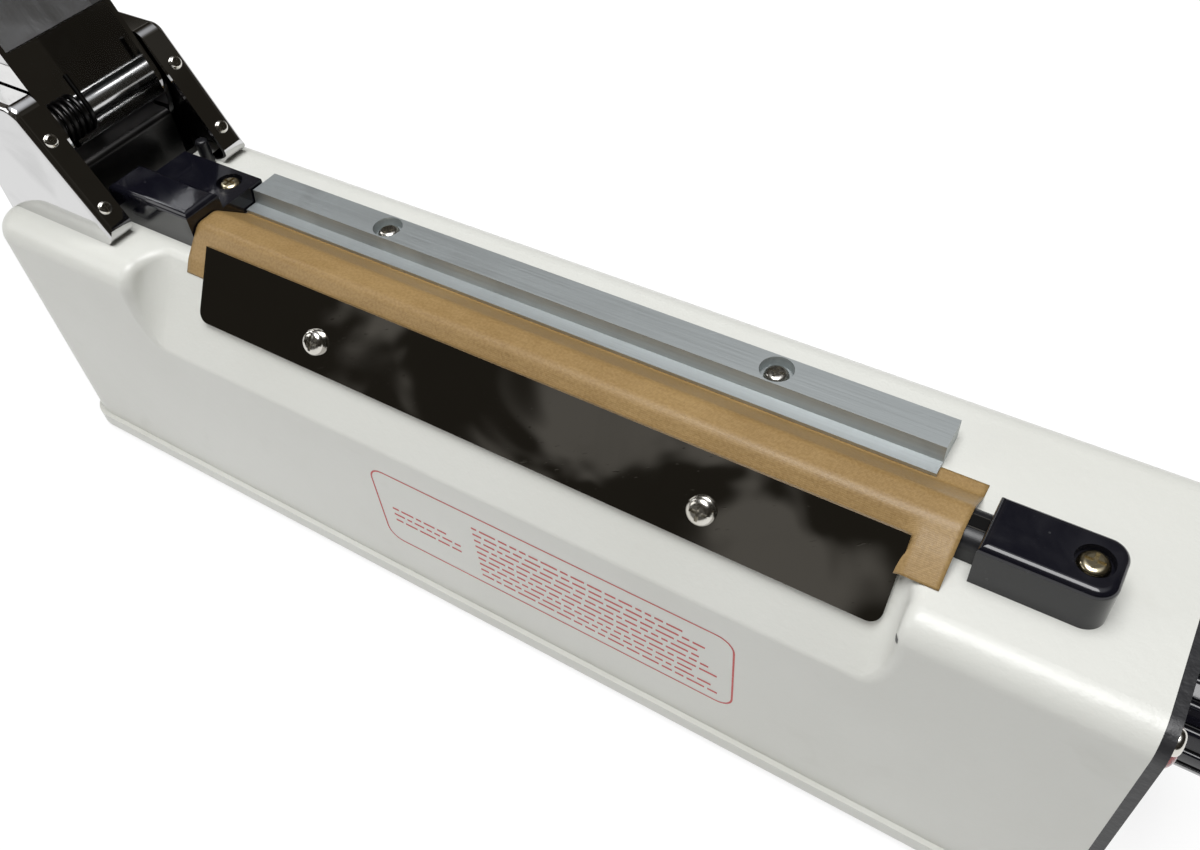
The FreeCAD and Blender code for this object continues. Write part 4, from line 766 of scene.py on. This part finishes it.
@dataclass
class SealBed:
    """The seal bar with its cloth, strip, guard and terminal blocks.

    Attributes:
        top: Z of the housing's top.
        left: X of the cloth's left end.
        right: X of its right end.
        tuck: Y of its rear edge, under the strip.
        bend: Y where it rises from the housing's top to the bar.
        bar: Y of the bar's middle.
        bar_half: Half the bar's depth.
        bar_round: Radius of the bar's shoulders.
        bar_height: The bar's height above the housing's top.
        lift: Thickness of the tape and element between bar and cloth, with a little room.
        cloth: The cloth's thickness.
        clear: The gap under it.
        brow: Y of the edge where the housing's slope starts.
        hem: How far the cloth goes past that edge.
        slope: The way down the slope, as Y and Z.
        tab_start: X up to which the hem goes down the slope.
        tab_end: X from which it lies flat.
        slack: Height of the cloth's loose waves.
        end_reach: How far its right end's ripple reaches inward.
        wave_along: Radians per metre of a fine and a broad wave along X.
        wave_across: Radians by which the fine wave shifts from rear edge to front edge.
        wave_start: The broad wave's angle at X 0, in radians.
        loose_from: Share of the way across from which the cloth is loose.
        loose_gain: How much its looseness raises it, as a multiple of slack.
        end_ripple: Radians of the end's ripple from rear edge to front edge.
        segments_along: Faces along X.
        segments_across: Faces across the bar.
        bend_steps: Steps in the bend over a shoulder.
        coats: Node name to finish.
    """

    top: float = 92.0 * MM
    left: float = -97.6 * MM
    right: float = 126.5 * MM
    tuck: float = 8.4 * MM
    bend: float = 4.5 * MM
    bar: float = -8.3 * MM
    bar_half: float = 5.3 * MM
    bar_round: float = 3.4 * MM
    bar_height: float = 7.1 * MM
    lift: float = 0.40 * MM
    cloth: float = 0.2 * MM
    clear: float = 0.06 * MM
    brow: float = -19.0 * MM
    hem: float = 4.2 * MM
    slope: Tuple[float, float] = (-0.5241, -0.8517)
    tab_start: float = 115.6 * MM
    tab_end: float = 117.9 * MM
    slack: float = 0.14 * MM
    end_reach: float = 9.0 * MM
    wave_along: Tuple[float, float] = (95.0, 37.0)
    wave_across: float = 5.0
    wave_start: float = 1.0
    loose_from: float = 0.55
    loose_gain: float = 12.0
    end_ripple: float = 9.0
    segments_along: int = 180
    segments_across: int = 64
    bend_steps: int = 10
    coats: Dict[str, Finish] = field(default_factory=lambda: {
        "seal_bar": Finish.SATIN_BLACK, "insulation_tape": Finish.TAPE, "heating_element": Finish.BLACKED,
        "clamp_strip": Finish.EXTRUDED, "clamp_strip_screws": Finish.NICKEL, "front_guard": Finish.MIRROR,
        "front_guard_screws": Finish.NICKEL, "left_terminal_block": Finish.GLOSS_BLACK,
        "right_terminal_block": Finish.GLOSS_BLACK, "terminal_screws": Finish.BRASS})

    def shoulder_arc(self, middle: Vector, radius: float, point: Vector, side: int) -> List[Vector]:
        """The bend over one shoulder of the bar, from its crest to where a taut line to a point leaves it.

        Args:
            middle: The bend's centre.
            radius: The bend's radius.
            point: Where the line ends.
            side: 1 at the back of the bar and -1 at the front.

        Returns:
            Points along the bend, from the crest on.
        """
        reach = point - middle
        touch = math.atan2(reach.y, side * reach.x) + math.acos(radius / reach.length)
        crest = math.pi / 2
        turns = [crest + (touch - crest) * k / self.bend_steps for k in range(self.bend_steps + 1)]
        return [middle + Vector((side * math.cos(turn), math.sin(turn))) * radius for turn in turns]

    def section(self, flat: bool) -> List[Vector]:
        """The cloth's middle line across the bar, from under the strip to its front edge.

        Args:
            flat: Whether the front edge lies flat on the housing, or goes down the slope.

        Returns:
            Points with Y and Z in metres.
        """
        out = self.clear + self.cloth / 2
        radius = self.bar_round + self.lift + out
        floor = self.top + out
        level = self.top + self.bar_height - self.bar_round
        half = self.bar_half - self.bar_round
        bend = Vector((self.bend, floor))
        brow = Vector((self.brow, floor))
        edge = [brow - Vector((self.hem, 0.0))] if flat else [brow, brow + Vector(self.slope) * self.hem]
        back = self.shoulder_arc(Vector((self.bar + half, level)), radius, bend, 1)
        front = self.shoulder_arc(Vector((self.bar - half, level)), radius, edge[0], -1)
        return [Vector((self.tuck, floor)), bend] + back[::-1] + front + edge

    @staticmethod
    def along(points: List[Vector], share: float) -> Vector:
        """The point at a share of a line's length.

        Args:
            points: The line's points.
            share: From 0 to 1.

        Returns:
            The point.
        """
        left = share * sum((b - a).length for a, b in zip(points, points[1:]))
        for first, second in zip(points, points[1:]):
            length = (second - first).length
            if left <= length:
                return first.lerp(second, left / length)
            left -= length
        return points[-1].copy()

    def spot(self, along: float, share: float, slope: List[Vector], flat: List[Vector]) -> Point:
        """A point of the cloth.

        Args:
            along: Its X in metres.
            share: Its share of the way from the tuck to the front edge.
            slope: The line across the cloth where its hem goes down the slope.
            flat: The line where the hem lies flat.

        Returns:
            The point in the shared frame.
        """
        turn = min(1.0, max(0.0, (along - self.tab_start) / (self.tab_end - self.tab_start)))
        # Eased at both ends, so that the hem turns flat without a crease.
        turn = turn * turn * (3.0 - 2.0 * turn)
        here = self.along(slope, share).lerp(self.along(flat, share), turn)
        fine, broad = self.wave_along
        wave = math.sin(along * fine + share * self.wave_across) * math.sin(along * broad + self.wave_start)
        loose = max(0.0, share - self.loose_from) * max(0.0, 1.0 - share) * self.loose_gain
        end = math.exp(-(self.right - along) / self.end_reach)
        rise = loose * (1.0 + wave) + end * math.sin(share * self.end_ripple) ** 2
        return (along, here.x, here.y + self.slack * rise)

    def cloth_piece(self) -> bpy.types.Object:
        """The slip cloth stretched over the bar, as a thin sheet with its own map.

        Returns:
            The cloth.
        """
        slope = self.section(False)
        flat = self.section(True)
        length = sum((b - a).length for a, b in zip(slope, slope[1:]))
        mesh = bmesh.new()
        bmesh.ops.create_grid(mesh, x_segments=self.segments_along, y_segments=self.segments_across,
                              size=0.5)
        layer = mesh.loops.layers.uv.new("cloth")
        for face in mesh.faces:
            for loop in face.loops:
                across = (loop.vert.co.x + 0.5) * (self.right - self.left)
                loop[layer].uv = (across, (loop.vert.co.y + 0.5) * length)
        for vert in mesh.verts:
            along = self.left + (vert.co.x + 0.5) * (self.right - self.left)
            vert.co = self.spot(along, vert.co.y + 0.5, slope, flat)
        bmesh.ops.recalc_face_normals(mesh, faces=list(mesh.faces))
        piece = new_piece("slip_cloth", mesh)
        thick = piece.modifiers.new("thickness", "SOLIDIFY")
        thick.thickness = self.cloth
        thick.offset = 0.0
        return piece

    def build(self, shop: Paintshop) -> None:
        """Dresses the seal bed and lays its cloth.

        Args:
            shop: Where finishes come from.
        """
        shop.coat_nodes(self.coats)
        cloth = self.cloth_piece()
        shop.coat(cloth, Finish.CLOTH)
        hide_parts("ptfe_cloth")
        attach(cloth, "base")


@dataclass
class HingedArm:
    """The hinge, its return spring and the press arm.

    Attributes:
        pivot_x: X of the hinge pin; not used.
        pivot_z: Z of the hinge pin; not used.
        coil_near: A Y along the spring; not used.
        coil_far: A Y along the spring; not used.
        coats: Node name to finish.
    """

    pivot_x: float = -153.0 * MM
    pivot_z: float = 114.6 * MM
    coil_near: float = -11.8 * MM
    coil_far: float = 2.0 * MM
    coats: Dict[str, Finish] = field(default_factory=lambda: {
        "hinge_bracket": Finish.BLACKED, "bracket_screws": Finish.BLACKED, "hinge_post_near": Finish.CHROME,
        "hinge_post_far": Finish.CHROME, "post_screws": Finish.NICKEL, "hinge_pin": Finish.GROUND,
        "pin_clips": Finish.GROUND, "arm_channel": Finish.CHROME, "press_carrier": Finish.ARM_EXTRUDED,
        "carrier_screws": Finish.NICKEL, "press_bar": Finish.ARM_EXTRUDED, "press_bar_screws": Finish.NICKEL,
        "silicone_strip": Finish.SILICONE, "arm_grip": Finish.GLOSS_BLACK, "grip_screws": Finish.NICKEL})

    def winding_spring(self, shop: Paintshop) -> None:
        """Copies the return spring into a piece of its own in the blacked finish, and hides its CAD node.

        Args:
            shop: Where the spring's node and finish come from.
        """
        node = shop.nodes["return_spring"]
        mesh = bmesh.new()
        mesh.from_mesh(node.data)
        mesh.transform(node.matrix_world)
        piece = new_piece("winding_spring", mesh)
        shop.coat(piece, Finish.BLACKED)
        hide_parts("return_spring")
        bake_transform(piece)

    def build(self, shop: Paintshop) -> None:
        """Dresses the hinge and the arm.

        Args:
            shop: Where finishes come from.
        """
        shop.coat_nodes(self.coats)
        self.winding_spring(shop)


@dataclass
class TimerEnd:
    """The right end: timer dial, knob and lamp."""

    face: float = 175.8 * MM
    centre_y: float = 4.0 * MM
    centre_z: float = 52.0 * MM
    marks: int = 8
    sweep: float = 135.0
    tick_in: float = 15.2 * MM
    tick_out: float = 16.8 * MM
    tick_weight: float = 0.5 * MM
    number_radius: float = 19.3 * MM
    number_size: float = 3.4 * MM
    ink: float = 0.03 * MM
    inlay_size: Point = (0.5 * MM, 1.1 * MM, 9.6 * MM)
    inlay_middle: Point = (192.07 * MM, 4.0 * MM, 60.5 * MM)
    coats: Dict[str, Finish] = field(default_factory=lambda: {
        "dial_plate": Finish.PALE_PLASTIC, "timer_knob": Finish.GLOSS_BLACK, "pot_shaft": Finish.GROUND,
        "pot_nut": Finish.NICKEL, "potentiometer": Finish.ZINC, "indicator_lamp": Finish.PALE_PLASTIC,
        "lamp_lens": Finish.LENS})

    def at(self, angle: float, radius: float, turn: float) -> Matrix:
        """A place on the dial, facing out, with its own up turned.

        Args:
            angle: Clockwise from the top, in radians.
            radius: From the dial's middle.
            turn: How far its up is turned clockwise, in radians.

        Returns:
            The place as a matrix.
        """
        spot = Vector((self.face + self.ink, self.centre_y + radius * math.sin(angle),
                       self.centre_z + radius * math.cos(angle)))
        facing = Matrix(((0.0, 0.0, 1.0), (1.0, 0.0, 0.0), (0.0, 1.0, 0.0)))
        return Matrix.Translation(spot) @ facing.to_4x4() @ Matrix.Rotation(-turn, 4, "Z")

    def number(self, mesh: bmesh.types.BMesh, text: str, place: Matrix) -> None:
        """Adds one printed number.

        Args:
            mesh: Where it is added.
            text: The number.
            place: Where its middle goes.
        """
        curve = bpy.data.curves.new("number", "FONT")
        curve.body = text
        curve.size = self.number_size
        curve.align_x = "CENTER"
        curve.align_y = "CENTER"
        holder = bpy.data.objects.new("number", curve)
        flat = bpy.data.meshes.new_from_object(holder)
        flat.transform(place)
        mesh.from_mesh(flat)
        bpy.data.objects.remove(holder)
        bpy.data.meshes.remove(flat)
        bpy.data.curves.remove(curve)

    def dial_marks(self) -> bpy.types.Object:
        """The ticks and plain numbers round the dial.

        Returns:
            The marks.
        """
        mesh = bmesh.new()
        size = Vector((self.tick_weight, self.tick_out - self.tick_in, 1.0))
        middle = (self.tick_in + self.tick_out) / 2
        for k in range(self.marks):
            angle = math.radians(self.sweep * (2.0 * k / (self.marks - 1) - 1.0))
            tick = self.at(angle, middle, angle) @ Matrix.Diagonal(size).to_4x4()
            bmesh.ops.create_grid(mesh, x_segments=1, y_segments=1, size=0.5, matrix=tick)
            self.number(mesh, str(k + 1), self.at(angle, self.number_radius, 0.0))
        return new_piece("dial_marks", mesh, smooth=False)

    def pointer_inlay(self) -> bpy.types.Object:
        """The pale line let into the knob's pointer groove.

        Returns:
            The line.
        """
        mesh = bmesh.new()
        place = Matrix.LocRotScale(Vector(self.inlay_middle), None, Vector(self.inlay_size))
        bmesh.ops.create_cube(mesh, size=1.0, matrix=place)
        return new_piece("pointer_inlay", mesh, smooth=False)

    def build(self, shop: Paintshop) -> None:
        """Dresses the timer end and prints its dial.

        Args:
            shop: Where finishes come from.
        """
        shop.coat_nodes(self.coats)
        marks = self.dial_marks()
        shop.coat(marks, Finish.DARK_INK)
        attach(marks, "base")
        inlay = self.pointer_inlay()
        shop.coat(inlay, Finish.PALE_INK)
        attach(inlay, "timer_dial_knob")


@dataclass
class Works:
    """What the housing hides: transformer, timer board and switch."""

    coats: Dict[str, Finish] = field(default_factory=lambda: {
        "transformer_core": Finish.CORE, "transformer_coil": Finish.WINDING,
        "transformer_strap": Finish.ZINC, "transformer_screws": Finish.NICKEL, "timer_board": Finish.BOARD,
        "board_standoffs": Finish.PALE_PLASTIC, "timer_relay": Finish.SATIN_BLACK,
        "timer_capacitor": Finish.SLEEVE, "micro_switch": Finish.SATIN_BLACK, "switch_bracket": Finish.ZINC,
        "switch_push_rod": Finish.SATIN_BLACK})

    def build(self, shop: Paintshop) -> None:
        """Dresses the hidden works.

        Args:
            shop: Where finishes come from.
        """
        shop.coat_nodes(self.coats)


@dataclass
class Lamp:
    """One soft lamp."""

    name: str
    spot: Point
    aim: Point
    width: float
    height: float
    power: float

    def hang(self) -> None:
        """Puts the lamp in the scene."""
        data = bpy.data.lights.new(self.name, "AREA")
        data.shape = "RECTANGLE"
        data.size = self.width
        data.size_y = self.height
        data.energy = self.power
        lamp = bpy.data.objects.new(self.name, data)
        aim = Vector(self.aim) - Vector(self.spot)
        turn = aim.to_track_quat("-Z", "Y").to_matrix()
        lamp.matrix_world = Matrix.Translation(self.spot) @ turn.to_4x4()
        bpy.context.scene.collection.objects.link(lamp)


@dataclass
class Studio:
    """Floor, lamps, surroundings and camera.

    Attributes:
        eye: The camera's place.
        right: The camera's own X axis.
        up: The camera's own Y axis.
        back: The camera's own Z axis, away from what it sees.
        lens: Focal length in millimetres.
        sensor: Sensor width in millimetres.
        nearest: How near the camera can see.
        floor_half: Half the floor's side.
        floor_tints: Two greys that the floor's faint mottling runs between.
        floor_glow: Share of plain light in what the eye sees of the floor.
        floor_light: Strength of that light.
        dark_wall: Colour of the room's dark patches.
        pale_wall: Colour of its pale patches.
        overhead: Colour of the room overhead.
        overhead_from: Z of the way looked, from where overhead starts to where it is whole.
        shaded_from: X of the way looked, from where the pale patches start to fade to where they stop.
        shading: How far they fade, from 0 to 1.
        patch_edge: Noise from which a dark patch turns pale, and at which it is pale.
        lamps: The soft lamps.
    """

    eye: Point = (143.4 * MM, -157.7 * MM, 282.0 * MM)
    right: Point = (0.84700, 0.52757, -0.06522)
    up: Point = (-0.35386, 0.65113, 0.67143)
    back: Point = (0.39669, -0.54562, 0.73820)
    lens: float = 32.41
    sensor: float = 36.0
    nearest: float = 10.0 * MM
    floor_half: float = 4.0
    floor_tints: Tuple[Colour, Colour] = (rgb(0.86, 0.86, 0.86), rgb(0.88, 0.88, 0.88))
    floor_glow: float = 0.75
    floor_light: float = 1.12
    dark_wall: Colour = rgb(0.02, 0.0175, 0.0135)
    pale_wall: Colour = rgb(0.125, 0.117, 0.104)
    overhead: Colour = rgb(0.85, 0.86, 0.89)
    overhead_from: Tuple[float, float] = (0.76, 0.97)
    shaded_from: Tuple[float, float] = (0.15, 0.6)
    shading: float = 0.85
    patch_edge: Tuple[float, float] = (0.48, 0.56)
    lamps: List[Lamp] = field(default_factory=lambda: [
        Lamp("key", spot=(0.06, -0.14, 1.38), aim=(0.0, 0.0, 0.08), width=0.8, height=0.8, power=15.6),
        Lamp("fill", spot=(-0.75, -0.55, 0.5), aim=(-0.1, 0.0, 0.06), width=0.5, height=0.4, power=1.15),
    ])

    def floor(self) -> None:
        """A wide plain floor, white to the eye but still shaded under the object."""
        mesh = bmesh.new()
        bmesh.ops.create_grid(mesh, x_segments=1, y_segments=1, size=self.floor_half)
        floor = new_piece("floor", mesh, smooth=False)
        bench, material = Bench.for_material("floor")
        place = bench.place()
        speck = bench.noise(place, scale=30.0)
        matt = bench.wire("ShaderNodeBsdfDiffuse", None, {"Color": bench.tone(speck, *self.floor_tints)})
        glow = bench.wire("ShaderNodeEmission", None, {"Color": WHITE, "Strength": self.floor_light})
        path = bench.node("ShaderNodeLightPath")
        rays = ("Is Camera Ray", "Is Glossy Ray", "Is Transmission Ray")
        eye, mirror, clear = (Wire(bench, path.outputs[name]) for name in rays)
        factor = eye.most(mirror).most(clear) * self.floor_glow
        mixed = bench.wire("ShaderNodeMixShader", None, {0: factor, 1: matt, 2: glow})
        bench.node("ShaderNodeOutputMaterial", None, {"Surface": mixed})
        floor.data.materials.append(material)

    def surroundings(self) -> None:
        """White to the eye, and to polished metal a dim room that is lighter overhead."""
        world = bpy.data.worlds.new("room")
        bpy.context.scene.world = world
        world.use_nodes = True
        bench = Bench(world.node_tree)
        way = bench.wire("ShaderNodeTexCoord", output="Generated")
        height = bench.part(way, 2)
        shade = 1.0 - bench.part(way, 0).step(*self.shaded_from) * self.shading
        patch = bench.noise(way, scale=5.2, detail=3.0, warp=0.8).step(*self.patch_edge) * shade
        low = bench.tone(patch, self.dark_wall, self.pale_wall)
        room = bench.tone(height.step(*self.overhead_from), low, self.overhead)
        seen = Wire(bench, bench.node("ShaderNodeLightPath").outputs["Is Camera Ray"])
        colour = bench.tone(seen, room, WHITE)
        glow = bench.wire("ShaderNodeBackground", None, {"Color": colour, "Strength": 1.0})
        bench.node("ShaderNodeOutputWorld", None, {"Surface": glow})

    def camera(self) -> None:
        """A camera where the photograph was taken."""
        data = bpy.data.cameras.new("camera")
        data.sensor_width = self.sensor
        data.lens = self.lens
        data.clip_start = self.nearest
        camera = bpy.data.objects.new("camera", data)
        turn = Matrix((self.right, self.up, self.back)).transposed()
        camera.matrix_world = Matrix.Translation(self.eye) @ turn.to_4x4()
        bpy.context.scene.collection.objects.link(camera)
        bpy.context.scene.camera = camera

    def build(self) -> None:
        """Sets up the whole studio."""
        bpy.context.scene.view_settings.view_transform = "Standard"
        self.camera()
        self.floor()
        self.surroundings()
        for lamp in self.lamps:
            lamp.hang()


def main() -> None:
    """Builds the studio and every sub-assembly in order."""
    logging.basicConfig(level=logging.INFO, format="%(message)s")
    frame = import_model()
    Studio().build()
    shop = Paintshop(frame["nodes"])
    for assembly in (Shell(), SealBed(), HingedArm(), TimerEnd(), Works()):
        assembly.build(shop)


if __name__ == "__main__":
    main()
